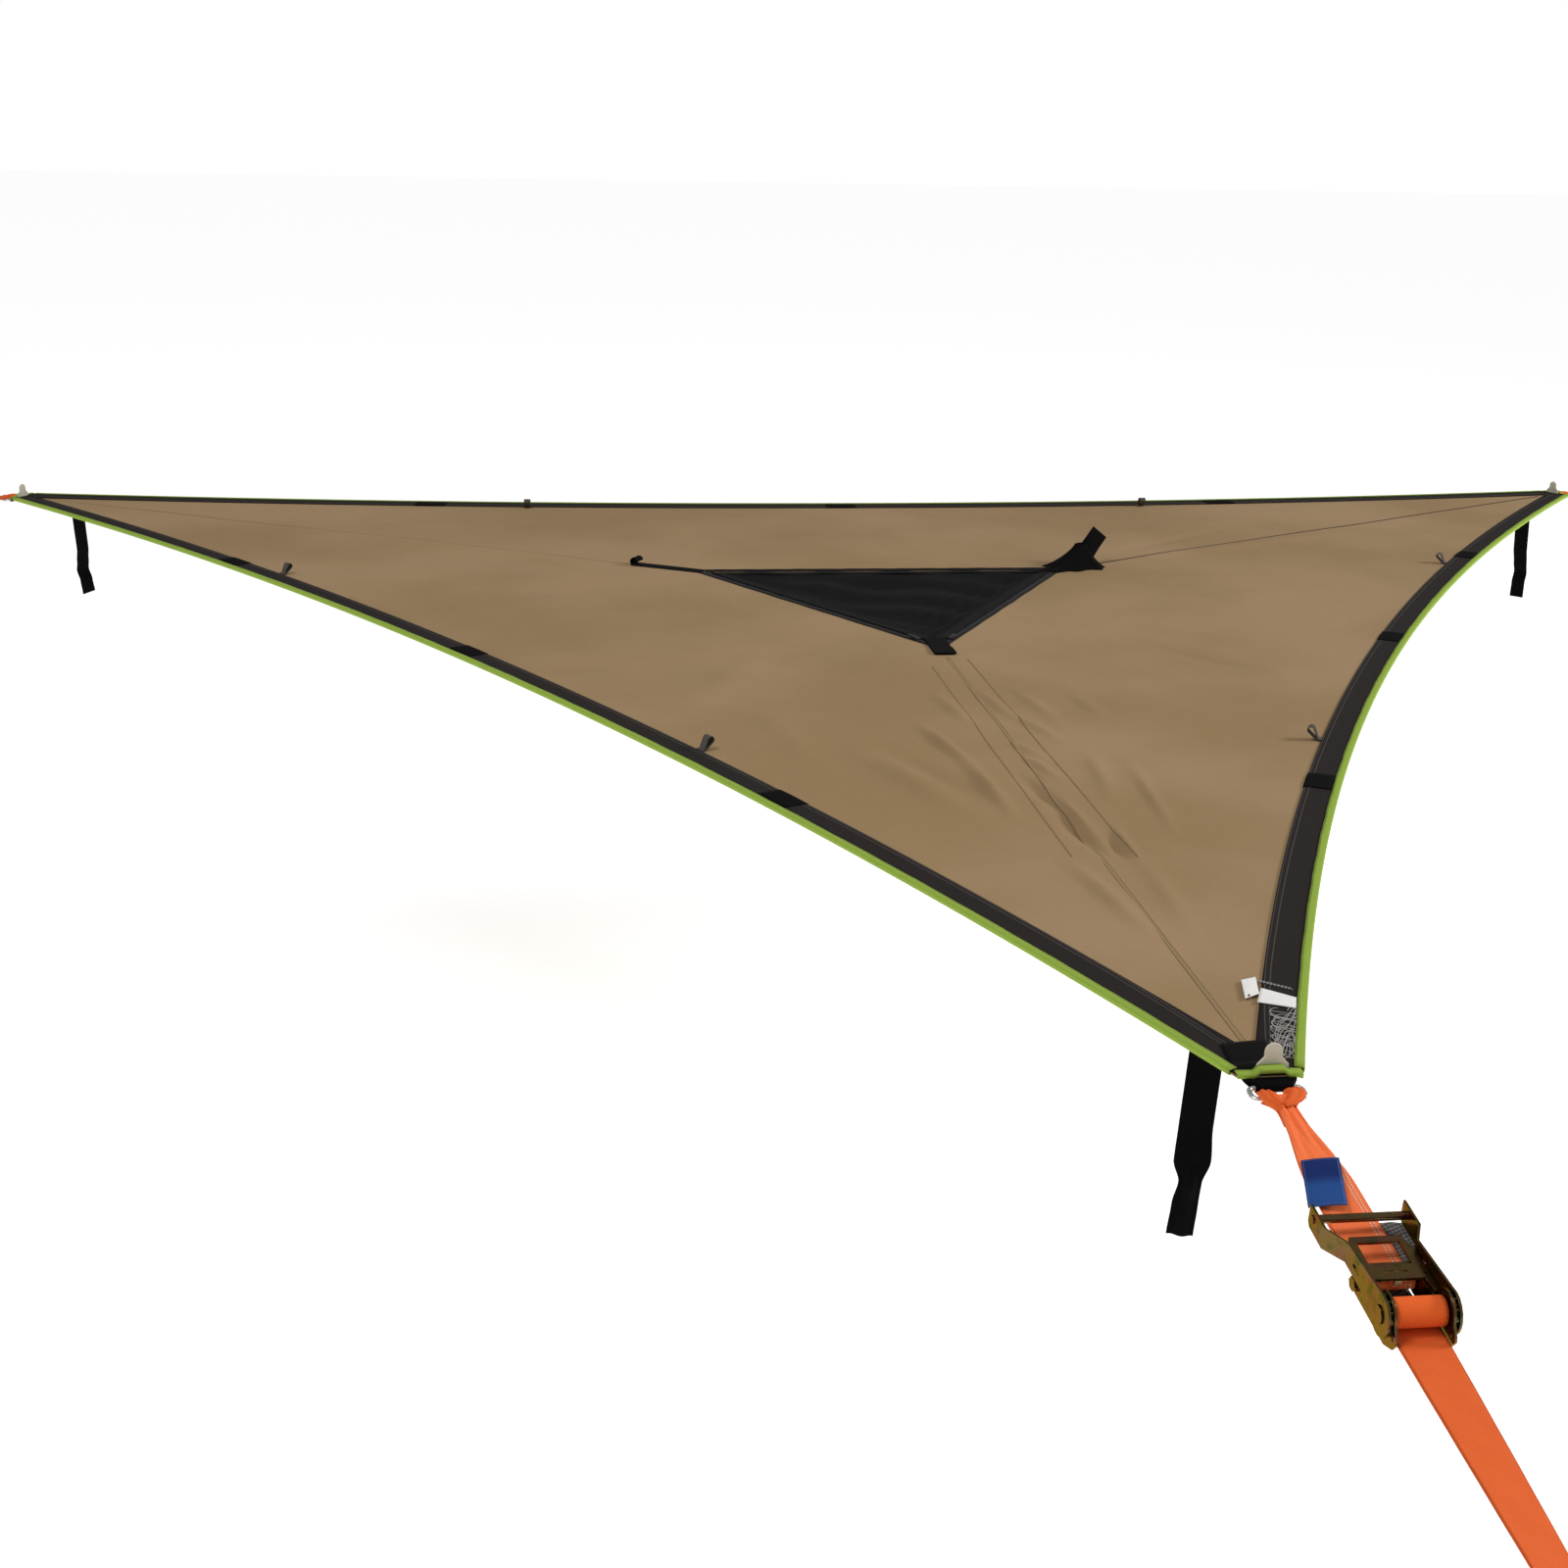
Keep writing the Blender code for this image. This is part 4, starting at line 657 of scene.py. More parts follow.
def shares(count: int) -> list[float]:
    """Even shares from 0 to 1, one more than the count."""
    return [i / count for i in range(count + 1)]


def surface(lines: int, columns: int, place: Callable[[float, float], Vector]) -> Rows:
    """Rows of points over a surface.

    Args:
        lines: how many faces go along it.
        columns: how many faces go across it.
        place: the point at a share along and a share across.

    Returns:
        The rows, each across the surface.
    """
    return [[place(along, across) for across in shares(columns)] for along in shares(lines)]


def ease(share: float) -> float:
    """Eases a share from 0 to 1."""
    share = min(max(share, 0.0), 1.0)
    return share * share * (3 - 2 * share)


def between(places: list[float], values: list[float], at: float) -> float:
    """A smooth curve through values at places.

    Args:
        places: places in rising order.
        values: the values there.
        at: the place asked for.

    Returns:
        The value at that place.
    """
    for (low, first), (high, second) in zip(zip(places, values), zip(places[1:], values[1:])):
        if at <= high:
            return first + (second - first) * ease((at - low) / (high - low))
    return values[-1]


def arc(x: float, y: float, radius: float, start: float, end: float, steps: int) -> list[tuple[float, float]]:
    """Points on an arc in a plane."""
    angles = [start + (end - start) * share for share in shares(steps)]
    return [(x + radius * cos(angle), y + radius * sin(angle)) for angle in angles]


def ribbon_rows(path: list[Vector], width: Callable[[int], float], side: Callable[[int], Vector],
                columns: int = 8, lift: Optional[Callable[[int, float], float]] = None) -> Rows:
    """Rows of points for a flat band along a path.

    Args:
        path: the band's middle line.
        width: the width at each point of the path.
        side: the direction across the band at each point.
        columns: how many faces go across.
        lift: how far a point stands off, by path point and by share across.

    Returns:
        The rows, each across the band.
    """
    rows = []
    last = len(path) - 1
    for i, point in enumerate(path):
        along = (path[min(i + 1, last)] - path[max(i - 1, 0)]).normalized()
        across = side(i)
        across = (across - along * across.dot(along)).normalized()
        normal = across.cross(along)
        row = []
        for k in range(columns + 1):
            share = k / columns
            off = lift(i, share) if lift else 0.0
            row.append(point + across * (width(i) * (share - 0.5)) + normal * off)
        rows.append(row)
    return rows


def moved(rows: Rows, matrix: Matrix) -> Rows:
    """The rows turned and shifted by a matrix."""
    return [[matrix @ point for point in row] for row in rows]


def smooth_path(points: list[Vector], steps: int) -> list[Vector]:
    """A smooth curve through points, with some steps between each two.

    Args:
        points: the points to pass through.
        steps: steps between two points.

    Returns:
        The points of the curve.
    """
    path = []
    for i in range(len(points) - 1):
        before, start = points[max(i - 1, 0)], points[i]
        end, after = points[i + 1], points[min(i + 2, len(points) - 1)]
        for share in shares(steps)[:-1]:
            path.append(0.5 * (2 * start + (end - before) * share
                               + (2 * before - 5 * start + 4 * end - after) * share * share
                               + (3 * start - before - 3 * end + after) * share * share * share))
    return path + [points[-1]]


# Sizes


@dataclass(frozen=True)
class Tent:
    """The tent's sizes and the curves its pieces are laid along."""

    side: float = 4.10
    sag: float = 0.172
    corner_width: float = 0.074
    gap: float = 0.0003
    floor_thickness: float = 0.0012
    hem_inset: float = 0.003
    hem_width: float = 0.050
    hem_thickness: float = 0.0022
    ring_wire: float = 0.006
    ring_out: float = 0.014
    ring_depth: float = 0.028
    drum_out: float = 0.394
    loop_thickness: float = 0.0018
    hatch_radius: float = 0.450

    @property
    def radius(self) -> float:
        """From the centre to a corner."""
        return self.side / sqrt(3)

    @property
    def low(self) -> float:
        """The level of what lies on the floor."""
        return self.floor_thickness / 2 + self.gap

    @property
    def hem_top(self) -> float:
        """The level of the hem's top."""
        return self.low + self.hem_thickness

    @property
    def bar_drop(self) -> float:
        """How far a ring's inner bar lies under the floor's plane."""
        return self.low + self.loop_thickness + self.gap + self.ring_wire / 2

    def turn(self, index: int) -> Matrix:
        """The turn that takes near corner pieces to another corner or side."""
        return Matrix.Rotation(radians(120 * index), 4, "Z")

    def line(self, index: int, drop: float) -> Matrix:
        """A corner's line frame: the origin on the ring's inner bar, -Y out along the line."""
        place = Matrix.Translation((0, -self.radius - self.ring_out, -self.bar_drop))
        return self.turn(index) @ place @ Matrix.Rotation(drop, 4, "X")

    def edge(self, share: float, inset: float = 0.0) -> tuple[Vector, Vector, Vector]:
        """A point of the right side's curve, with its directions along and inward.

        Args:
            share: the share of the side's length.
            inset: how far inside the edge.

        Returns:
            The point and the two directions.
        """
        start = Vector((self.corner_width / 2, -self.radius, 0))
        end = self.turn(1) @ Vector((-self.corner_width / 2, -self.radius, 0))
        chord = end - start
        inward = Vector((-chord.y, chord.x, 0)).normalized()
        point = start + chord * share + inward * (4 * self.sag * share * (1 - share))
        along = (chord + inward * (4 * self.sag * (1 - 2 * share))).normalized()
        normal = Vector((-along.y, along.x, 0))
        return point + normal * inset, along, normal

    def mirror(self, point: Vector) -> Vector:
        """A point of the right side's first half, mirrored to its second half.

        Args:
            point: the point to mirror.

        Returns:
            The mirrored point.
        """
        axis = Vector((cos(radians(-30)), sin(radians(-30)), 0))
        flat = Vector((point.x, point.y, 0))
        return 2 * axis * flat.dot(axis) - flat + UP * point.z

    def median_share(self, inset: float) -> float:
        """The share of the side where its curve, moved inward, meets the corner's median.

        Args:
            inset: how far the curve is moved inward.

        Returns:
            The share.
        """
        low, high = 0.0, 0.5
        for _ in range(50):
            middle = (low + high) / 2
            if self.edge(middle, inset)[0].x > 0:
                high = middle
            else:
                low = middle
        return high

    def hatch_corner(self, index: int, radius: Optional[float] = None) -> Vector:
        """A corner of the hatch: 0 near, 1 right, 2 left.

        Args:
            index: which corner.
            radius: its distance from the middle, if not the hatch's own.

        Returns:
            The corner.
        """
        angle = radians(-90 + 120 * index)
        reach = self.hatch_radius if radius is None else radius
        return Vector((reach * cos(angle), reach * sin(angle), 0))


TENT = Tent()
SIDES = {"right": 0, "far": 1, "left": 2}
CORNERS = {"near": 0, "right": 1, "left": 2}
DROPS = {"near": radians(7.5), "right": radians(3.0), "left": radians(3.0)}


@dataclass(frozen=True)
class Wrinkle:
    """A soft fold in the floor between two places."""

    start: tuple[float, float]
    end: tuple[float, float]
    width: float
    height: float

    def lift(self, x: float, y: float) -> float:
        """How far the fold raises the cloth at a place.

        Args:
            x: the place's x.
            y: the place's y.

        Returns:
            The rise.
        """
        run_x, run_y = self.end[0] - self.start[0], self.end[1] - self.start[1]
        length = sqrt(run_x * run_x + run_y * run_y)
        off_x, off_y = x - self.start[0], y - self.start[1]
        share = (off_x * run_x + off_y * run_y) / (length * length)
        if not 0 < share < 1:
            return 0.0
        away = (off_x * run_y - off_y * run_x) / length
        return self.height * sin(pi * share) ** 2 * exp(-((away / self.width) ** 2))


WRINKLES = (
    Wrinkle((-0.145, -0.96), (-0.085, -1.28), 0.012, 0.0100),
    Wrinkle((-0.104, -1.14), (-0.078, -1.54), 0.013, 0.0100),
    Wrinkle((-0.080, -0.76), (-0.042, -1.05), 0.013, 0.0060),
    Wrinkle((0.006, -0.74), (0.036, -1.02), 0.012, 0.0055),
    Wrinkle((0.022, -0.91), (0.094, -1.13), 0.012, 0.0065),
    Wrinkle((0.072, -0.73), (0.110, -1.05), 0.014, 0.0055),
    Wrinkle((0.170, -0.79), (0.192, -1.00), 0.014, 0.0050),
    Wrinkle((-0.285, -1.08), (-0.115, -1.54), 0.028, 0.0085),
    Wrinkle((-0.240, -1.06), (-0.100, -1.45), 0.020, -0.0060),
    Wrinkle((-0.400, -0.85), (-0.330, -1.32), 0.030, 0.0050),
    Wrinkle((-0.036, -1.24), (0.004, -1.50), 0.013, -0.0090),
    Wrinkle((-0.022, -1.40), (0.012, -1.70), 0.013, -0.0095),
    Wrinkle((-0.002, -1.16), (0.034, -1.34), 0.010, 0.0060),
    Wrinkle((-0.008, -1.08), (0.040, -1.22), 0.010, 0.0050),
    Wrinkle((0.166, -1.16), (0.131, -1.62), 0.010, 0.0060),
    Wrinkle((0.114, -1.13), (0.082, -1.44), 0.014, 0.0060),
    Wrinkle((0.006, -1.37), (0.018, -1.60), 0.009, 0.0055),
    Wrinkle((0.038, -1.53), (0.028, -1.70), 0.009, -0.0060),
    Wrinkle((0.056, -1.50), (0.048, -1.72), 0.008, 0.0045),
    Wrinkle((-0.055, -1.64), (-0.006, -2.00), 0.015, 0.0080),
    Wrinkle((0.055, -1.62), (0.045, -2.05), 0.014, 0.0050),
    Wrinkle((-0.300, -0.40), (-0.550, -0.95), 0.035, 0.0050),
    Wrinkle((0.420, -0.30), (0.800, -0.55), 0.030, 0.0050),
    Wrinkle((0.360, -0.40), (0.620, -0.75), 0.022, -0.0050),
    Wrinkle((0.550, -0.05), (1.000, -0.02), 0.035, 0.0045),
    Wrinkle((-0.450, 0.05), (-0.950, -0.10), 0.040, 0.0045),
    Wrinkle((-0.500, 0.26), (-1.450, 0.80), 0.030, 0.0050),
    Wrinkle((0.520, 0.30), (1.350, 0.70), 0.026, 0.0050),
    Wrinkle((0.480, 0.34), (1.050, 0.78), 0.022, -0.0040),
    Wrinkle((0.100, 0.35), (0.120, 0.85), 0.040, 0.0040),
    Wrinkle((-0.250, 0.33), (-0.450, 0.85), 0.045, -0.0040),
)


def edge_distance(x: float, y: float) -> float:
    """Roughly how far a place is inside the nearest side.

    Args:
        x: the place's x.
        y: the place's y.

    Returns:
        The distance.
    """
    least = 10.0
    for index in SIDES.values():
        angle = radians(-30 + 120 * index)
        out = x * cos(angle) + y * sin(angle)
        run = -x * sin(angle) + y * cos(angle)
        chord = TENT.radius / 2 - TENT.sag * (1 - (2 * run / TENT.side) ** 2)
        least = min(least, chord - out)
    return least


def hatch_distance(x: float, y: float) -> float:
    """How far a place is outside the hatch."""
    angles = (radians(-30 + 120 * k) for k in range(3))
    return max(x * cos(a) + y * sin(a) for a in angles) - TENT.hatch_radius / 2


def floor_level(x: float, y: float) -> float:
    """The floor's height at a place: taut at the hem and the hatch, folded between.

    Args:
        x: the place's x.
        y: the place's y.

    Returns:
        The height.
    """
    calm = ease((edge_distance(x, y) - 0.075) / 0.12) * ease((hatch_distance(x, y) - 0.03) / 0.10)
    if calm <= 0:
        return 0.0
    folds = sum(wrinkle.lift(x, y) for wrinkle in WRINKLES)
    ripple = 0.0012 * sin(9.0 * x + 4.0 * sin(3.1 * y)) * sin(7.0 * y + 2.0 * sin(4.3 * x))
    return calm * (folds + ripple)


# Pieces


@dataclass
class Assembly:
    """A group of pieces that are built and reported together."""

    title: str
    pieces: list[bpy.types.Object] = field(default_factory=list)

    def add(self, obj: bpy.types.Object, look: Look, body: str, slot: str, *nodes: str) -> bpy.types.Object:
        """Dresses a piece and ties it to its body.

        Args:
            obj: the piece.
            look: its finish.
            body: the CAD body it moves with.
            slot: the record's material slot. Not used.
            nodes: the CAD nodes it stands for.

        Returns:
            The piece.
        """
        obj.data.materials.clear()
        obj.data.materials.append(look.value.material())
        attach(obj, body)
        if nodes:
            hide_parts(*nodes)
        self.pieces.append(obj)
        LOG.info("%s: %s rides on %s", self.title, obj.name, body)
        return obj

    def metal(self, node: str, look: Look, body: str, slot: str, bevel: float = 0.0,
              sharp: float = SHARP_ANGLE) -> bpy.types.Object:
        """A merged copy of a rigid CAD node that takes the node's place.

        Args:
            node: the CAD node.
            look: its finish.
            body: its body.
            slot: its colour slot.
            bevel: the width of the worn edges, 0 for none.
            sharp: the angle from which an edge stays sharp.

        Returns:
            The copy.
        """
        bm = bmesh.new()
        bm.from_mesh(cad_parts[node].data)
        bmesh.ops.remove_doubles(bm, verts=bm.verts, dist=MERGE_DISTANCE)
        bmesh.ops.dissolve_limit(bm, angle_limit=radians(1), verts=bm.verts, edges=bm.edges)
        bmesh.ops.recalc_face_normals(bm, faces=bm.faces)
        obj = as_object(node + "_look", bm, sharp)
        if bevel:
            edges = obj.modifiers.new("worn_edges", "BEVEL")
            edges.width = bevel
            edges.segments = 2
            edges.limit_method = "ANGLE"
            edges.angle_limit = SHARP_ANGLE
        return self.add(obj, look, body, slot, node)


@dataclass
class FloorCloth(Assembly):
    """The three tan panels and the seams between them."""

    columns: int = 400
    lines: int = 78
    gather: float = 1.6
    seam_width: float = 0.008
    seam_thickness: float = 0.0004
    row_width: float = 0.004
    edge_inset: float = 0.0006

    def inner(self, share: float) -> Vector:
        """A point of the right panel's inner line: near median, hatch edge, far median.

        Args:
            share: the share of the side.

        Returns:
            The point.
        """
        corner = Vector((0.0002, -TENT.hatch_radius, 0))
        near = Vector((0.0002, -TENT.radius, 0))
        if share < 0.4:
            return near.lerp(corner, share / 0.4)
        if share > 0.6:
            return TENT.mirror(near.lerp(corner, (1 - share) / 0.4))
        return corner.lerp(TENT.mirror(corner), (share - 0.4) / 0.2)

    def panel(self, name: str, index: int) -> None:
        """One panel, with its folds.

        Args:
            name: the side's name.
            index: its number.
        """
        turn = TENT.turn(index)
        rows = []
        for share in shares(self.columns):
            outer = TENT.edge(share, self.edge_inset)[0]
            inner = self.inner(share)
            row = []
            for step in shares(self.lines):
                point = turn @ outer.lerp(inner, 1 - (1 - step) ** self.gather)
                row.append(Vector((point.x, point.y, floor_level(point.x, point.y))))
            rows.append(row)
        node = "floor_panel_" + name
        piece = cloth(node + "_cloth", rows, TENT.floor_thickness)
        self.add(piece, Look.FLOOR, "tent", "floor_fabric", node)

    def seam(self, name: str, index: int) -> None:
        """The seam from a corner to the hatch, darker at the right corner.

        Args:
            name: the corner's name.
            index: its number.
        """
        look = Look.DARK_SEAM if name == "right" else Look.SEAM
        ends = (-TENT.radius + 0.085, -TENT.hatch_radius - 0.10)
        self.tape("seam_" + name, TENT.turn(index), (0.0, 0.0), ends, self.seam_width, look)

    def tape(self, name: str, turn: Matrix, across: tuple[float, float], ends: tuple[float, float],
             width: float, look: Look) -> None:
        """A narrow tape or row of stitches that follows the folded floor.

        Args:
            name: the piece's name.
            turn: the turn to its corner.
            across: how far it lies beside the median at its start and end.
            ends: where it starts and ends along the median.
            width: its width.
            look: its finish.
        """
        drift, length = across[1] - across[0], ends[1] - ends[0]
        path = []
        for share in shares(160):
            point = turn @ Vector((across[0] + drift * share, ends[0] + length * share, 0))
            path.append(point + UP * (floor_level(point.x, point.y) + self.seam_thickness))
        side = turn @ ACROSS
        puff = self.seam_thickness / 2
        rows = ribbon_rows(path, lambda i: width, lambda i: side, 6, lambda i, share: puff * sin(pi * share))
        self.add(cloth(name, rows, self.seam_thickness), look, "tent", "floor_fabric")

    def build(self) -> None:
        """Builds the panels and seams."""
        for name, index in SIDES.items():
            self.panel(name, index)
        for name, index in CORNERS.items():
            self.seam(name, index)
        still = TENT.turn(0)
        self.tape("stitched_row_left", still, (-0.041, -0.042), (-1.66, -0.62), self.row_width, Look.ROW)
        self.tape("stitched_row_right", still, (0.050, 0.036), (-1.67, -0.56), self.row_width, Look.ROW)


@dataclass
class Edging(Assembly):
    """Hems, lime bindings, keepers and gear loops along the three sides."""

    steps: int = 200
    reach: float = 0.010
    binding_thickness: float = 0.0014
    keeper_length: float = 0.075
    keeper_thickness: float = 0.0014
    loop_width: float = 0.016
    keeper_shares: tuple = ((0.266, 0.521, 0.750), (0.244, 0.494, 0.750), (0.250, 0.490, 0.744))
    mitre: float = 0.08

    def hem(self, name: str, index: int) -> None:
        """The charcoal webbing on the floor's edge, mitred at its ends.

        Args:
            name: the side's name.
            index: its number.
        """
        turn = TENT.turn(index)
        inset = TENT.hem_inset + TENT.hem_width
        start = TENT.median_share(inset)
        level = TENT.low + TENT.hem_thickness / 2
        outer_end = Vector((0.0002, TENT.edge(0.0, TENT.hem_inset)[0].y, 0))
        inner_end = TENT.edge(start, inset)[0]
        ends = [(outer_end, inner_end)]
        for share in shares(self.steps):
            nearest = min(share, 1 - share)
            slid = 1.15 * start * max(1 - nearest / self.mitre, 0.0) + nearest
            inner_share = slid if share < 0.5 else 1 - slid
            ends.append((TENT.edge(share, TENT.hem_inset)[0], TENT.edge(inner_share, inset)[0]))
        ends.append((TENT.mirror(outer_end), TENT.mirror(inner_end)))
        rows = []
        for i, (outer, inner) in enumerate(ends):
            row = []
            for share in shares(12):
                ripple = 0.00025 * sin(0.9 * i + 5 * share) * sin(pi * share)
                row.append(turn @ (outer.lerp(inner, share) + UP * (level + ripple)))
            rows.append(row)
        node = "hem_" + name
        self.add(cloth(node + "_cloth", rows, TENT.hem_thickness), Look.HEM, "tent", "hem_webbing", node)

    def binding(self, name: str, index: int) -> None:
        """The lime binding folded round the edge.

        Args:
            name: the side's name.
            index: its number.
        """
        turn = TENT.turn(index)
        half = self.binding_thickness / 2
        top = TENT.hem_top + TENT.gap + half
        low = -TENT.low - half
        wall = -TENT.gap - half
        length = TENT.side - TENT.corner_width / 2
        start = (self.reach + 2 * self.binding_thickness) / length
        profile = [(self.reach, top), (self.reach * 0.6, top + 0.0002), (self.reach * 0.25, top + 0.0001),
                   (wall + 0.001, top), (wall + 0.0002, top - 0.0005), (wall, top - 0.0014),
                   (wall, low + 0.0010), (wall + 0.0003, low + 0.0003), (wall + 0.001, low),
                   (self.reach * 0.5, low), (self.reach, low)]
        rows = []
        for i in range(self.steps + 1):
            wander = 0.0003 * sin(0.83 * i) + 0.0002 * sin(2.1 * i)
            point, _, inward = TENT.edge(start + (1 - 2 * start) * i / self.steps)
            rows.append([turn @ (point + inward * (x + wander * (x > 0)) + UP * z)
                         for x, z in profile])
        node = "edge_binding_" + name
        piece = cloth(node + "_cloth", rows, self.binding_thickness)
        self.add(piece, Look.LIME, "tent", "lime_binding", node)

    def keepers(self, name: str, index: int) -> None:
        """Three black bands sewn across the hem.

        Args:
            name: the side's name.
            index: its number.
        """
        turn = TENT.turn(index)
        top = TENT.hem_top + self.keeper_thickness / 2
        half = self.keeper_length / (TENT.side - TENT.corner_width / 2) / 2
        inner = TENT.hem_inset + TENT.hem_width
        profile = [(self.reach + TENT.gap, top), (0.022, top), (0.034, top + 0.0001), (0.046, top),
                   (inner - 0.0004, top - 0.0001), (inner + 0.0008, top - 0.0010),
                   (inner + 0.0010, TENT.low + 0.0009)]
        for number, middle in enumerate(self.keeper_shares[index], start=1):
            rows = []
            for across, level in profile:
                row = []
                for share in shares(8):
                    point, _, inward = TENT.edge(middle + half * (2 * share - 1))
                    bow = 0.0006 * sin(pi * share)
                    row.append(turn @ (point + inward * (across + bow) + UP * level))
                rows.append(row)
            piece = cloth(f"keeper_{name}_{number}", rows, self.keeper_thickness)
            self.add(piece, Look.KEEPER, "tent", "black_webbing")

    def gear_loop(self, name: str, index: int, number: int, share: float) -> None:
        """A folded grey tape, rising inward from the hem to its eye.

        Args:
            name: the side's name.
            index: its number.
            number: the loop's number there.
            share: its share of the side.
        """
        turn = TENT.turn(index)
        place, along, inward = TENT.edge(share, TENT.hem_inset + TENT.hem_width)
        thickness, foot, radius = 0.0014, 0.006, 0.0055
        eye_x, rise = 0.024 - radius, 0.017
        low = TENT.low + thickness / 2
        high = low + thickness + TENT.gap
        eye_z = low + rise
        slope = atan2(rise, eye_x - foot)
        outline = [(TENT.gap, low), (foot * 0.6, low), (foot + thickness, low + 0.0001)]
        outline += arc(eye_x, eye_z, radius, slope - radians(110), slope + radians(110), 14)
        outline += [(foot, high), (foot * 0.5, high), (TENT.gap, high)]
        path = [turn @ (place + inward * x + UP * z) for x, z in outline]
        side = turn.to_3x3() @ along
        rows = ribbon_rows(path, lambda i: self.loop_width, lambda i: side, 6)
        node = f"gear_loop_{name}_{number}"
        self.add(cloth(node + "_tape", rows, thickness), Look.GREY, "tent", "grey_webbing", node)

    def build(self) -> None:
        """Builds the edging of every side."""
        loops = {"right": (0.325, 0.720), "far": (0.300, 0.690), "left": (0.292, 0.676)}
        for name, index in SIDES.items():
            self.hem(name, index)
            self.binding(name, index)
            self.keepers(name, index)
            for number, share in enumerate(loops[name], start=1):
                self.gear_loop(name, index, number, share)


@dataclass
class Corner(Assembly):
    """One corner: band, lug, loop, ring and hanging strap."""

    name: str = "near"
    band_thickness: float = 0.0016
    loop_width: float = 0.060
    loop_inset: float = 0.060
    ring_width: float = 0.066
    ring_corner: float = 0.008
    hang_inset: float = 0.165
    hang_width: float = 0.042
    hang_lengths: tuple = (0.285, 0.262, 0.232)
    hang_thickness: float = 0.0018
    hang_gap: float = 0.0008

    @property
    def index(self) -> int:
        """The corner's number."""
        return CORNERS[self.name]

    def band(self) -> None:
        """Lime tape across the blunt corner, arched over the lug's foot."""
        half = TENT.corner_width / 2
        top = TENT.hem_top + TENT.gap + self.band_thickness / 2
        front = -TENT.radius - TENT.gap - self.band_thickness / 2
        rows = []
        for share in shares(44):
            x = -half + 2 * half * share
            lift = 0.0052 * ease((0.020 - abs(x - 0.002)) / 0.007)
            ear = 0.0020 * ease((x - half + 0.008) / 0.008)
            inner = -TENT.radius + 0.010 + 0.0006 * sin(90 * x)
            profile = [(inner, top), (-TENT.radius + 0.005, top + 0.0002), (front + 0.0008, top),
                       (front, top - 0.0008), (front, top - 0.0025), (front, -TENT.low + 0.0003)]
            rows.append([Vector((x, y, z + lift - ear * k / 5)) for k, (y, z) in enumerate(profile)])
        node = self.name + "_corner_band"
        piece = cloth(node + "_tape", moved(rows, TENT.turn(self.index)), self.band_thickness)
        self.add(piece, Look.LIME, "tent", "lime_binding", node)

    def loop(self) -> None:
        """Black webbing from under the corner round the ring's inner bar."""
        bar = -TENT.radius - TENT.ring_out
        thickness = TENT.loop_thickness
        radius = TENT.ring_wire / 2 + TENT.gap + thickness / 2
        top = -TENT.low - thickness / 2
        below = top - thickness - TENT.gap
        inner = -TENT.radius + self.loop_inset
        edge = -TENT.radius - self.band_thickness
        narrow = (self.ring_width - TENT.ring_wire - 2 * self.ring_corner) * 0.95
        path = [(inner + (edge - inner) * share, top) for share in shares(8)]
        path += [(bar + y, z - TENT.bar_drop) for y, z in arc(0, 0, radius, pi / 2, 3 * pi / 2, 14)]
        path += [(edge + (inner - edge) * share, below) for share in shares(8)]

        def width(i: int) -> float:
            """The webbing's width, narrower at the ring."""
            share = ease((edge + 0.001 - path[i][0]) / (edge - bar))
            return self.loop_width + (narrow - self.loop_width) * share

        points = [Vector((0, y, z)) for y, z in path]
        rows = ribbon_rows(points, width, lambda i: ACROSS, 12)
        node = self.name + "_corner_loop"
        piece = cloth(node + "_webbing", moved(rows, TENT.turn(self.index)), thickness)
        self.add(piece, Look.BLACK, "tent", "black_webbing", node)

    def ring(self) -> None:
        """The bright oval ring."""
        straight = (self.ring_width - TENT.ring_wire) / 2 - self.ring_corner
        deep = self.ring_corner - (TENT.ring_depth - TENT.ring_wire)
        outline = arc(straight, -self.ring_corner, self.ring_corner, pi / 2, 0, 8)
        outline += arc(straight, deep, self.ring_corner, 0, -pi / 2, 8)
        outline += arc(-straight, deep, self.ring_corner, -pi / 2, -pi, 8)
        outline += arc(-straight, -self.ring_corner, self.ring_corner, pi, pi / 2, 8)
        matrix = TENT.line(self.index, DROPS[self.name])
        path = [matrix @ Vector((x, y, 0)) for x, y in outline]
        node = self.name + "_ring"
        self.add(tube(node + "_wire", path, TENT.ring_wire / 2, True, 16), Look.STEEL, self.name + "_line",
                 "ring_steel", node)

    def hanging_strap(self) -> None:
        """The black strap that hangs from the floor. The near one is folded towards its end."""
        length = self.hang_lengths[self.index]
        places = [0.0, 0.25, 0.50, 0.64, 0.74, 0.86, 1.0]
        kinks = [0.0, 0.2, 0.3, -0.4, -1.0, 0.2, 0.8]
        turns = [0.0, 0.0, 0.05, 0.35, 1.0, 0.84, 0.76]
        folds = [1.0, 1.0, 1.0, 1.06, 0.64, 0.74, 0.76]
        if self.name != "near":
            turns = [0.0, 0.0, 0.0, 0.1, 0.2, 0.2, 0.2]
            folds = [1.0, 1.0, 0.98, 0.97, 0.96, 0.97, 0.99]
        shift, drift, kink, turn = 0.012, 0.015, 0.006, -radians(16)
        steps = 60
        path = []
        for share in shares(steps):
            bend = kink * between(places, kinks, share)
            path.append(Vector((-shift - drift * share, bend, -self.hang_gap - length * share)))

        def side(i: int) -> Vector:
            """The direction across the strap."""
            return Matrix.Rotation(turn * between(places, turns, i / steps), 3, "Z") @ ACROSS

        def lift(i: int, share: float) -> float:
            """How deep the fold stands where the strap is folded narrow."""
            closed = 1 - between(places, folds, i / steps)
            return 0.010 * max(closed, 0.0) * sin(tau * share * 1.25 + 0.5)

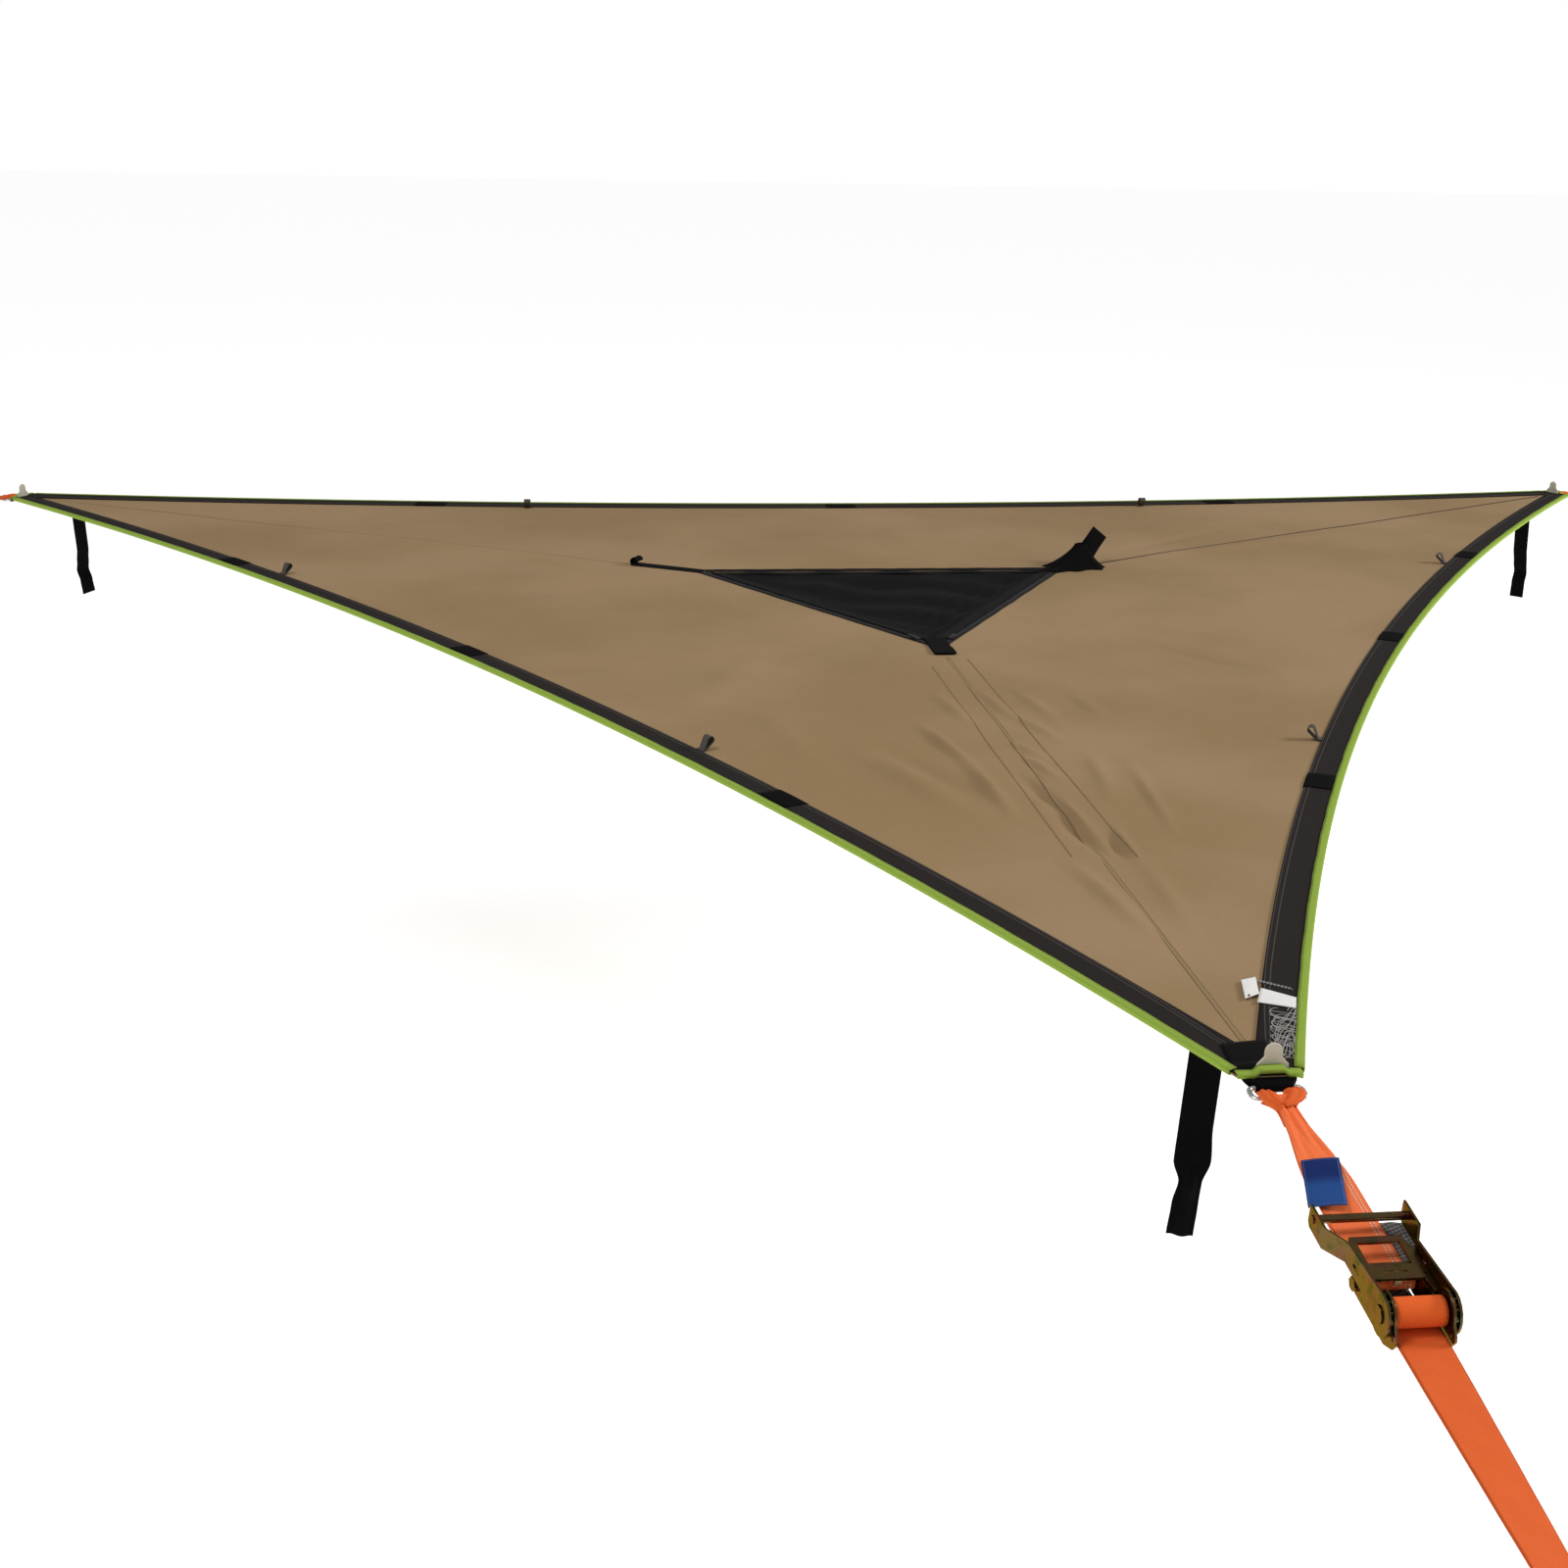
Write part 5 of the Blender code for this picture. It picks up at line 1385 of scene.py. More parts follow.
        widths = [self.hang_width * between(places, folds, share) for share in shares(steps)]
        rows = ribbon_rows(path, lambda i: widths[i], side, 12, lift)
        place = Matrix.Translation((0, -TENT.radius + self.hang_inset, -TENT.low - self.hang_thickness / 2))
        node = self.name + "_hanging_strap"
        piece = cloth(node + "_webbing", moved(rows, TENT.turn(self.index) @ place), self.hang_thickness,
                      up=TENT.turn(self.index).to_3x3() @ Vector((0, -1, 0)))
        self.add(piece, Look.BLACK, node, "black_webbing", node)

    def build(self) -> None:
        """Builds the corner's pieces."""
        self.band()
        self.metal(self.name + "_lug", Look.LUG, "tent", "lug_plastic", 0.0006)
        self.loop()
        self.ring()
        self.hanging_strap()


@dataclass
class Line(Assembly):
    """A corner's orange webbing, hitched to its ring."""

    name: str = "near"
    width: float = 0.050
    thickness: float = 0.0020
    hitch_width: float = 0.042
    neck_width: float = 0.021
    neck_thickness: float = 0.0046
    spread_end: float = 0.181
    neck_end: float = 0.143
    eye_radius: float = 0.013
    eye_lap: float = 0.060
    cord_start: float = 0.010

    @property
    def body(self) -> str:
        """The CAD body the line moves with."""
        return self.name + "_line"

    @property
    def matrix(self) -> Matrix:
        """The line's frame."""
        return TENT.line(CORNERS[self.name], DROPS[self.name])

    @property
    def bar(self) -> float:
        """The outer bar's reach."""
        return TENT.ring_depth - TENT.ring_wire

    def wide(self, reach: float) -> float:
        """The webbing's width, gathered at the hitch.

        Args:
            reach: the distance from the ring's inner bar.

        Returns:
            The width.
        """
        neck = self.bar + self.neck_width
        if reach < neck:
            share = ease((reach - self.bar) / (neck - self.bar))
            return self.hitch_width + (self.neck_width - self.hitch_width) * share
        share = ease((reach - neck) / (self.spread_end - neck))
        return self.neck_width + (self.width - self.neck_width) * share

    def thick(self, reach: float) -> float:
        """The webbing's depth, heaped where it is gathered.

        Args:
            reach: the distance from the ring's inner bar.

        Returns:
            The depth.
        """
        neck = self.bar + self.neck_width
        if reach < neck:
            share = ease((reach - self.bar) / (neck - self.bar))
        else:
            share = 1 - ease((reach - neck) / (self.neck_end - neck))
        return self.thickness + (self.neck_thickness - self.thickness) * share

    def doubled(self, name: str, far: float, far_radius: float, near_lap: float,
                far_lap: float) -> bpy.types.Object:
        """Webbing looped round the ring's outer bar and round an eye, its ends sewn back under it.

        Args:
            name: the piece's name.
            far: the eye's distance from the ring's inner bar.
            far_radius: the radius of the webbing round the eye.
            near_lap: where the end sewn at the ring stops.
            far_lap: where the end sewn at the eye stops.

        Returns:
            The webbing.
        """
        radius = TENT.ring_wire / 2 + TENT.gap + self.thickness / 2
        leave = self.bar + 2.4 * radius
        arrive = far - 1.6 * far_radius - self.thickness
        path = []

        def ply(start: float, end: float, steps: int, sign: int) -> None:
            """Adds one ply of the strap between two reaches.

            Args:
                start: the reach where it starts.
                end: the reach where it ends.
                steps: how many steps it has.
                sign: 1 for the upper ply, -1 for the lower.
            """
            for share in shares(steps):
                reach = start + (end - start) * share
                path.append((reach, sign * (self.thick(reach) + TENT.gap) / 2))

        ply(near_lap, leave, 10, -1)
        path.extend((self.bar - y, z) for y, z in arc(0, 0, radius, radians(-100), radians(100), 16))
        ply(leave, arrive, 90, 1)
        path.extend((far + y, z) for y, z in arc(0, 0, far_radius, radians(120), radians(-120), 18))
        ply(arrive, far_lap, 10, -1)

        def lift(i: int, share: float) -> float:
            """The folds of the gathered webbing.

            Args:
                i: the point's number.
                share: the share of the width.

            Returns:
                The rise.
            """
            reach, rise = path[i]
            tight = 1 - (self.wide(reach) - self.neck_width) / (self.width - self.neck_width)
            fold = sin(tau * (share * 2.3 + reach * 4.0)) + 0.5 * sin(tau * (share * 4.1 - reach * 9.0))
            depth = 0.0013 if reach > self.bar + 0.006 else 0.0006
            return depth * tight * fold * (1 if rise > 0 else 0.4)

        points = [Vector((0, -reach, rise)) for reach, rise in path]
        rows = ribbon_rows(points, lambda i: self.wide(path[i][0]), lambda i: ACROSS, 28, lift)
        return cloth(name, moved(rows, self.matrix), self.thickness)

    def lobe(self, name: str, places: list[tuple[float, float, float]], widths: tuple[float, ...],
             waves: float) -> None:
        """One folded lobe of the hitch, over the outer bar and down into the neck.

        Args:
            name: the piece's name.
            places: points across, out along the line and up.
            widths: the width at each of them.
            waves: how many folds go across it.
        """
        path = smooth_path([Vector((x, -reach, z)) for x, reach, z in places], 7)
        count = len(path) - 1
        stations = shares(len(widths) - 1)

        def side(i: int) -> Vector:
            """The direction across the lobe."""
            ahead = path[min(i + 1, count)] - path[max(i - 1, 0)]
            return Vector((-ahead.y, ahead.x, 0)).normalized() * -1

        def lift(i: int, share: float) -> float:
            """The lobe's pleats and its rounded back."""
            return 0.0009 * sin(tau * waves * share + 0.06 * i) - 0.0042 * (2 * share - 1) ** 4

        rows = ribbon_rows(path, lambda i: between(stations, list(widths), i / count), side, 20, lift)
        self.add(cloth(name, moved(rows, self.matrix), 0.0014), Look.ORANGE, self.body, "orange_webbing")

    def hitch(self) -> None:
        """The girth hitch on the ring: a pleated lobe on the left, a slanting one on the right."""
        left = [(-0.0125, 0.0065, -0.0015), (-0.0140, 0.0125, 0.0048), (-0.0145, 0.0200, 0.0078),
                (-0.0135, 0.0290, 0.0074), (-0.0095, 0.0370, 0.0062), (-0.0040, 0.0440, 0.0040)]
        self.lobe(self.name + "_hitch_left", left, (0.017, 0.019, 0.021, 0.020, 0.016, 0.010), 3.2)
        right = [(0.0135, 0.0035, -0.0015), (0.0160, 0.0100, 0.0052), (0.0175, 0.0190, 0.0084),
                 (0.0130, 0.0280, 0.0086), (0.0060, 0.0360, 0.0082), (-0.0030, 0.0410, 0.0066)]
        self.lobe(self.name + "_hitch_right", right, (0.015, 0.019, 0.021, 0.018, 0.013, 0.007), 1.6)


@dataclass
class SideLine(Line):
    """The start of a side corner's line, with a sewn eye."""

    length: float = 0.310

    def build(self) -> None:
        """Builds the strap and its hitch."""
        eye = self.length - self.eye_radius - self.thickness
        node = self.name + "_strap"
        piece = self.doubled(node + "_webbing", eye, self.eye_radius + self.thickness / 2,
                             TENT.ring_depth + self.neck_width * 2, eye - self.eye_lap)
        self.add(piece, Look.ORANGE, self.body, "orange_webbing", node)
        start = self.cord_start
        path = [self.matrix @ Vector((0, -start - (self.length - start) * share, 0)) for share in shares(30)]
        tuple(path[0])
        self.hitch()


@dataclass
class NearLine(Line):
    """The near line: short strap with its label, sleeve, and the webbing out to the tree."""

    bolt_to_drum: float = 0.065
    bolt_radius: float = 0.005
    label_width: float = 0.038
    label_length: float = 0.080
    label_start: float = 0.143
    label_thickness: float = 0.0009
    sleeve_thickness: float = 0.0022
    length: float = 0.816
    twist: float = radians(24)

    def short_strap(self) -> None:
        """The sewn strap from the ring to the ratchet's bolt."""
        radius = self.bolt_radius + TENT.gap + self.thickness / 2
        piece = self.doubled("near_short_strap_webbing", TENT.drum_out - self.bolt_to_drum, radius,
                             TENT.ring_depth + self.neck_width * 2, self.label_start + self.label_length)
        self.add(piece, Look.SEWN, self.body, "orange_webbing", "near_short_strap")

    def label(self) -> None:
        """The bare label, askew and lifting along one edge."""
        level = self.thickness + 3 * TENT.gap + 0.0005
        place = Matrix.Translation((0, -self.label_start, level)) @ Matrix.Rotation(-radians(14), 4, "Z")
        place = place @ Matrix.Translation((-self.label_width / 2, 0, 0))
        place = place @ Matrix.Rotation(-radians(13), 4, "Y")

        def spot(along: float, across: float) -> Vector:
            """A point of the label.

            Args:
                along: the share of the length.
                across: the share of the width.

            Returns:
                The point.
            """
            curl = 0.0010 * sin(pi * across) + 0.0008 * sin(tau * along) * across
            return Vector((self.label_width * across, -self.label_length * along, curl))

        rows = moved(surface(24, 12, spot), self.matrix @ place)
        piece = cloth("strap_label_cloth", rows, self.label_thickness)
        self.add(piece, Look.LABEL, self.body, "label_fabric", "strap_label")

    def sleeve(self) -> None:
        """Grey quilted pad that shows beside the strap inside the handle."""

        def spot(along: float, across: float) -> Vector:
            """A point of the pad, which narrows and sinks into the ratchet.

            Args:
                along: the share of the length.
                across: the share of the width.

            Returns:
                The point.
            """
            reach = 0.236 + 0.120 * along
            right = 0.055 - 0.029 * ease((reach - 0.268) / 0.046)
            left = -0.002 - 0.022 * ease((reach - 0.305) / 0.020)
            level = -0.0052 - 0.0103 * ease((reach - 0.298) / 0.024)
            puff = 0.0012 * sin(pi * across) + 0.0006 * sin(tau * across * 3 + 32.4 * along)
            return Vector((left + (right - left) * across, -reach, level + puff))

        piece = cloth("near_sleeve", moved(surface(36, 12, spot), self.matrix), self.sleeve_thickness)
        self.add(piece, Look.SLEEVE, self.body, "grey_webbing")

    def tree_strap(self) -> None:
        """Webbing from under the drum to a sewn eye, twisting as it goes."""
        eye = self.length - self.eye_radius - self.thickness
        radius = self.eye_radius + self.thickness / 2
        flat_from = eye - self.eye_lap - radius
        start = TENT.drum_out - 0.0045
        path, sides, middle = [], [], []

        def add(reach: float, rise: float) -> None:
            """Adds a point of the twisted path and the direction across it.

            Args:
                reach: the distance from the ring's inner bar.
                rise: its height over the line.
            """
            share = (min(reach, flat_from) - TENT.drum_out) / (flat_from - TENT.drum_out)
            turn = Matrix.Rotation(self.twist * max(share, 0.0), 3, "Y")
            path.append(turn @ Vector((0, -reach, rise)))
            sides.append(turn @ ACROSS)

        for share in shares(80):
            add(start + (flat_from - start) * share, 0.0)
        add(eye - 2.6 * radius, 0.0)
        add(eye - 1.6 * radius, 0.0004)
        for reach, rise in arc(eye, 0.0, radius, radians(125), radians(-120), 22):
            add(reach, rise)
        lap = -(self.thickness + TENT.gap)
        for share in shares(8):
            add(eye - 1.6 * radius + (flat_from + radius - eye + 1.6 * radius) * share, lap)
        for share in shares(40):
            middle.append(self.matrix @ Vector((0, -start - (self.length - start) * share, 0)))

        def lift(i: int, share: float) -> float:
            """A slight wave across the webbing."""
            return 0.0005 * sin(i * 0.35) * sin(tau * share)

        rows = ribbon_rows(path, lambda i: self.width, lambda i: sides[i], 14, lift)
        piece = cloth("near_tree_strap_webbing", moved(rows, self.matrix), self.thickness)
        self.add(piece, Look.ORANGE, self.body, "orange_webbing", "near_tree_strap")

    def build(self) -> None:
        """Builds the near line's soft pieces."""
        self.short_strap()
        self.hitch()
        self.label()
        self.sleeve()
        self.tree_strap()


@dataclass
class Ratchet(Assembly):
    """The ratchet's metal and the webbing wound on its drum."""

    width: float = 0.050
    spindle_radius: float = 0.009
    wrap_thickness: float = 0.0016
    wrap_pitch: float = 0.0021
    wrap_turns: float = 2.25

    @property
    def end_radius(self) -> float:
        """The wound webbing's outer centre line."""
        return self.spindle_radius + TENT.gap + self.wrap_thickness / 2 + self.wrap_pitch * self.wrap_turns

    def wound(self) -> None:
        """The webbing through the spindle's slot and round it to the drum's underside."""
        rise = self.end_radius + self.wrap_thickness / 2 + TENT.gap + 0.001
        first = self.end_radius - self.wrap_pitch * self.wrap_turns
        end = -pi / 2 - tau * int(self.wrap_turns)
        begin = end + tau * self.wrap_turns - radians(11)
        radius = self.spindle_radius
        path = [(-radius * 0.9, 0.0), (0.0, 0.0), (radius * 0.95, 0.0), (radius * 1.07, -radius * 0.075)]
        steps = int(44 * self.wrap_turns)
        for i in range(steps + 1):
            angle = begin + (end - begin) * i / steps
            out = first + self.wrap_pitch * (begin - angle) / tau
            path.append((out * cos(angle), out * sin(angle)))
        matrix = TENT.line(0, DROPS["near"]) @ Matrix.Translation((0, -TENT.drum_out, rise))
        points = [Vector((0, y, z)) for y, z in path]
        rows = ribbon_rows(points, lambda i: self.width - 0.0006 * (i % 7 == 0), lambda i: ACROSS, 10)
        piece = cloth("wound_webbing_cloth", moved(rows, matrix), self.wrap_thickness)
        self.add(piece, Look.WOUND, "drum", "orange_webbing", "wound_webbing")

    def build(self) -> None:
        """Dresses the metal and winds the webbing."""
        plates = {"ratchet_frame": "near_line", "ratchet_handle": "handle", "drive_pawl": "drive_pawl",
                  "lock_pawl": "lock_pawl", "ratchet_wheel_left": "drum", "ratchet_wheel_right": "drum",
                  "fixed_nut": "near_line", "fixed_bolt": "near_line", "drum_spindle": "drum"}
        for node, body in plates.items():
            self.metal(node, Look.ZINC, body, "zinc_steel", 0.0003)
        self.metal("lock_spring", Look.SPRING, "near_line", "spring_steel", sharp=pi)
        self.metal("drive_spring", Look.SPRING, "handle", "spring_steel", sharp=pi)
        self.wound()


@dataclass
class Hatch(Assembly):
    """The mesh flap, its zips, hinge hem and corner tabs."""

    thickness: float = 0.0012
    zip_width: float = 0.018
    hem_width: float = 0.022
    tab_thickness: float = 0.0018
    border_width: float = 0.020
    border_thickness: float = 0.0010
    zip_lap: float = 0.005
    hinge_lap: float = -0.003
    hinge_clear: float = 0.009
    lining_thickness: float = 0.0008

    def flap(self) -> None:
        """The black mesh, sagging in soft folds between its edges."""
        reach = TENT.hatch_radius - 0.004
        top = reach / 2
        height = top + reach

        def spot(share: float, across: float) -> Vector:
            """A point of the mesh, calm along the edges.

            Args:
                share: the share from the hinge to the near corner.
                across: the share of the width.

            Returns:
                The point.
            """
            y = top - height * share
            half = (1 - share) * height / sqrt(3) + 0.0006
            x = half * (2 * across - 1)
            inside = min(share, 1 - share, 2 * across * (1 - share), 2 * (1 - across) * (1 - share))
            calm = ease(inside / 0.22)
            folds = 0.0045 * sin(21 * (x - 0.5 * y)) + 0.0030 * sin(37 * (y + 0.45 * x) + 1.2)
            valley = -0.006 * exp(-(((y + 0.42 - 1.05 * x) / 0.06) ** 2))
            away = (half - x) * cos(pi / 6)
            valley += 0.0045 * sin(tau * away / 0.034) * exp(-((away / 0.09) ** 2))
            return Vector((x, y, calm * (-0.006 + folds + valley)))

        piece = cloth("hatch_mesh", surface(90, 70, spot), self.thickness)
        self.add(piece, Look.MESH, "hatch_flap", "mesh_fabric", "hatch_mesh_flap")
        corners = [TENT.hatch_corner(i, reach - 0.003) for i in range(3)]
        for number in (1, 2, 3):
            self.border(number, corners[number - 1], corners[number % 3])

    def border(self, number: int, start: Vector, end: Vector) -> None:
        """Black tape sewn round one edge of the flap, that laps a little over its zip.

        Args:
            number: which edge: 1 right, 2 at the hinge, 3 left.
            start: the corner where it starts.
            end: the corner where it ends.
        """
        along = (end - start).normalized()
        inward = Vector((-along.y, along.x, 0))
        first = start + along * self.hinge_clear * (number == 3)
        last = end - along * self.hinge_clear * (number == 1)

        def spot(share: float, across: float) -> Vector:
            """A point of the tape, raised where it lies over the zip.

            Args:
                share: the share of the length.
                across: the share of the width.

            Returns:
                The point.
            """
            full = min(1.0, 14 * share + 0.1, 14 * (1 - share) + 0.1)
            lap = self.hinge_lap if number == 2 else self.zip_lap * full
            bow = 0.004 * sin(pi * share) + 0.0015 * sin(19 * share)
            over = max(1 - 2.5 * across, 0.0) * (number != 2)
            level = 0.0012 + 0.0022 * ease(2 * over) + 0.0008 * sin(31 * share) * (1 - over)
            away = -lap + (self.border_width * full + lap + bow) * across
            return first.lerp(last, share) + inward * away + UP * level

        piece = cloth(f"flap_border_{number}", surface(60, 10, spot), self.border_thickness)
        self.add(piece, Look.BORDER, "hatch_flap", "black_webbing")

    def lining(self) -> None:
        """The hinge hem's lower ply, that shows in the narrow slit between hem and flap."""
        start, end = (TENT.hatch_corner(i) for i in (1, 2))
        level = -TENT.low - self.lining_thickness
        under, depth = 0.0055, 0.0155

        def spot(share: float, across: float) -> Vector:
            """A point of the ply, which ends just short of the hatch's corners."""
            return start.lerp(end, 0.006 + 0.988 * share) + Vector((0, depth * across - under, level))

        piece = cloth("hatch_hinge_lining", surface(60, 6, spot), self.lining_thickness)
        self.add(piece, Look.HINGE, "tent", "hem_webbing")

    def strip(self, name: str, ends: tuple[int, int], width: float, coil: float) -> bpy.types.Object:
        """A flat strip outside one of the hatch's edges.

        Args:
            name: the object's name.
            ends: the numbers of the corners where it starts and ends.
            width: its width.
            coil: the height of the zip's coil.

        Returns:
            The strip.
        """
        start, end = (TENT.hatch_corner(i) for i in ends)
        along = (end - start).normalized()
        outward = Vector((along.y, -along.x, 0))
        if outward.dot(start + end) < 0:
            outward.negate()
        level = TENT.low + self.thickness / 2

        def spot(share: float, across: float) -> Vector:
            """A point of the strip, whose edge wanders a little.

            Args:
                share: the share of the length.
                across: the share of the width.

            Returns:
                The point.
            """
            wander = 0.0007 + 0.0007 * sin(37.2 * share) * sin(pi * share)
            bead = coil * exp(-(((across - 0.5) * width / 0.0026) ** 2))
            rise = bead + 0.0002 * sin(84 * share + 3 * across)
            return start.lerp(end, share) + outward * (width * across + wander) + UP * (level + rise)

        return cloth(name, surface(120, 12, spot), self.thickness)

    def tab(self, node: str, path: list[Vector], width: float, side: Vector, fold: float = 0.0,
            last_side: Optional[Vector] = None) -> None:
        """A webbing tab along a path, that may turn its face towards its end.

        Args:
            node: the tab's name.
            path: points along it.
            width: its width.
            side: the direction across it.
            fold: the height of its folds.
            last_side: the direction across its end, if it turns.
        """
        turned = last_side or side
        smooth = smooth_path(path, 5)
        count = len(smooth) - 1

        def facing(i: int) -> Vector:
            """The direction across the tab."""
            return side.lerp(turned, ease(1.6 * i / count - 0.4))

        def lift(i: int, share: float) -> float:
            """The tab's lengthwise folds."""
            return fold * sin(tau * 1.5 * share) * sin(pi * i / count)

        rows = ribbon_rows(smooth, lambda i: width, facing, 10, lift)
        self.add(cloth(node + "_webbing", rows, self.tab_thickness), Look.TAB, "tent", "black_webbing", node)

    def near_tab(self) -> None:
        """The flat tab at the near corner, its end folded back."""
        level = TENT.low + self.thickness + TENT.gap + self.tab_thickness / 2
        fold = self.tab_thickness + TENT.gap
        start = -TENT.hatch_radius + 0.052
        end = start - 0.130
        low = level - 0.0015
        places = [(start, low), (start - 0.004, low), (start - 0.012, level), (start - 0.060, level),
                  (end + 0.020, level), (end, level), (end - 0.0013, level + fold / 2), (end, level + fold),
                  (end + 0.020, level + fold), (end + 0.039, level + fold)]
        self.tab("hatch_tab_near", [Vector((0, y, z)) for y, z in places], 0.042, ACROSS)

    def side_tabs(self) -> None:
        """The left tab, rolled up at its end, and the right one, which stands up."""
        base = TENT.low + self.tab_thickness / 2
        out = TENT.hatch_corner(2).normalized()
        first = TENT.hatch_corner(2) + out * 0.0068
        last = first + out * 0.165
        path = [first + UP * base, first.lerp(last, 0.5) + UP * base, last + UP * base]
        path += [last + out * x + UP * (base + 0.008 + z) for x, z in arc(0, 0, 0.008, -pi / 3, pi, 8)]
        self.tab("hatch_tab_left", path, 0.030, Vector((-out.y, out.x, 0)), 0.0006)
        out = TENT.hatch_corner(1).normalized()
        first = TENT.hatch_corner(1) + out * 0.014
        runs = [0.0, 0.25, 0.45, 0.60, 0.72, 0.86, 1.0]
        rises = [0.0, 0.0, 0.03, 0.20, 0.47, 0.75, 1.02]
        path = [first + out * 0.130 * run + UP * (base + 0.070 * rise) for run, rise in zip(runs, rises)]
        facing = Vector((-0.86, 0.0, 0.50))
        self.tab("hatch_tab_right", path, 0.040, Vector((-out.y, out.x, 0)), 0.0010, facing)

    def bunch(self) -> None:
        """Gathered cloth that stands up under the right tab."""
        out = TENT.hatch_corner(1).normalized()
        side = Vector((-out.y, out.x, 0))
        peak = TENT.hatch_corner(1) + out * 0.090 + UP * 0.052

        def spot(share: float, turn: float) -> Vector:
            """A point of the fluted skirt, by shares down from its peak and round it.

            Args:
                share: the share down from the peak.
                turn: the share of a whole turn.

            Returns:
                The point.
            """
            angle = tau * turn
            flute = 1 + (0.05 + 0.16 * share) * sin(7 * angle + 1.3) * sin(3 * angle)
            reach = (0.012 + 0.050 * share ** 1.3) * flute
            inward = 1.75 if cos(angle) > 0 else 0.75
            foot = peak - out * cos(angle) * reach * inward + side * sin(angle) * reach * 0.85
            return Vector((foot.x, foot.y, 0.0022 + 0.050 * (1 - share) ** 1.25))

        self.add(cloth("hatch_gathers", surface(24, 48, spot), 0.0010), Look.TAB, "tent", "black_webbing")

    def build(self) -> None:
        """Builds the hatch."""
        self.flap()
        for name, ends in (("left", (2, 0)), ("right", (0, 1))):
            node = "zip_tape_" + name
            tape = self.strip(node + "_cloth", ends, self.zip_width, 0.0006)
            self.add(tape, Look.ZIP, "tent", "zip_tape", node)
            slider = "zip_slider_" + name
            self.metal(slider, Look.SLIDER, slider, "slider_metal", 0.0004)
        piece = self.strip("hatch_hinge_hem_cloth", (1, 2), self.hem_width, 0.0)
        self.add(piece, Look.HINGE, "tent", "hem_webbing", "hatch_hinge_hem")
        self.lining()
        self.near_tab()
        self.side_tabs()
        self.bunch()


@dataclass
class CornerTrim(Assembly):
    """Small sewn things by the near corner: patch, bare tags and threads."""

    tag_thickness: float = 0.0007
    thread_radius: float = 0.0005

    def quad(self, name: str, corners: list[tuple[float, float]], level: float, thickness: float, bow: float,
             look: Look, slot: str) -> None:
        """A flat four-cornered piece on the hem.

        Args:
            name: the piece's name.
            corners: its corners, in order round it.
            level: its height.
            thickness: its thickness.
            bow: how far its middle stands up.
            look: its finish.
            slot: its colour slot.
        """
        first, second, third, fourth = (Vector((x, y, 0)) for x, y in corners)

        def spot(along: float, across: float) -> Vector:
            """A point of the piece, raised towards its middle."""
            rise = level + bow * sin(pi * along) * sin(pi * across)
            return first.lerp(second, along).lerp(fourth.lerp(third, along), across) + UP * rise

        self.add(cloth(name, surface(12, 12, spot), thickness), look, "tent", slot)

    def thread(self, name: str, points: list[tuple[float, float]], level: float, steps: int = 6) -> None:
        """A sewn thread along points on the hem."""
        path = smooth_path([Vector((x, y, level)) for x, y in points], steps)
        self.add(tube(name, path, self.thread_radius, False, 6), Look.THREAD, "tent", "hem_webbing")

    def build(self) -> None:
        """Builds the trim."""
        top = TENT.hem_top
        patch = [(-0.031, -2.288), (0.024, -2.281), (0.004, -2.3545), (-0.038, -2.3545)]
        self.quad("corner_patch_cloth", patch, top + 0.0008, 0.0010, 0.0010, Look.PATCH, "black_webbing")
        tag = [(0.0514, -2.1133), (0.0718, -2.1058), (0.0595, -2.1555), (0.0381, -2.1683)]
        self.quad("bare_tag_inner", tag, top + 0.0012, self.tag_thickness, 0.0008, Look.TAG, "label_fabric")
        strip = [(0.0671, -2.1385), (0.1000, -2.1698), (0.0888, -2.1994), (0.0492, -2.1789)]
        self.quad("bare_tag_outer", strip, top + 0.0010, self.tag_thickness, 0.0012, Look.TAG, "label_fabric")
        hole = [(0.0445, -2.1590), (0.0475, -2.1570), (0.0460, -2.1625), (0.0430, -2.1640)]
        self.quad("tag_eyelet_mark", hole, top + 0.0019, 0.0003, 0.0, Look.EYELET, "label_fabric")
        zigzag = [(0.070 + 0.034 * k / 20, -2.116 - 0.029 * k / 20 + (0.006 if k % 2 else -0.002))
                  for k in range(21)]
        self.thread("tag_zigzag", zigzag, top + 0.0006, 3)
        for number, (turns, phase) in enumerate(((6.3, 0.0), (8.7, 1.9), (4.1, 3.6)), start=1):
            points = []
            for share in shares(63):
                sway = 0.020 * sin(tau * turns * share + phase) * (1 - 0.45 * share)
                bob = 0.014 * sin(tau * (turns * 1.6) * share + 2 * phase)
                points.append((0.076 - 0.046 * share + sway, -2.205 - 0.118 * share + 0.4 * sway + bob))
            self.thread(f"hem_scribble_{number}", points, top + 0.0004 + 0.0003 * number, 3)


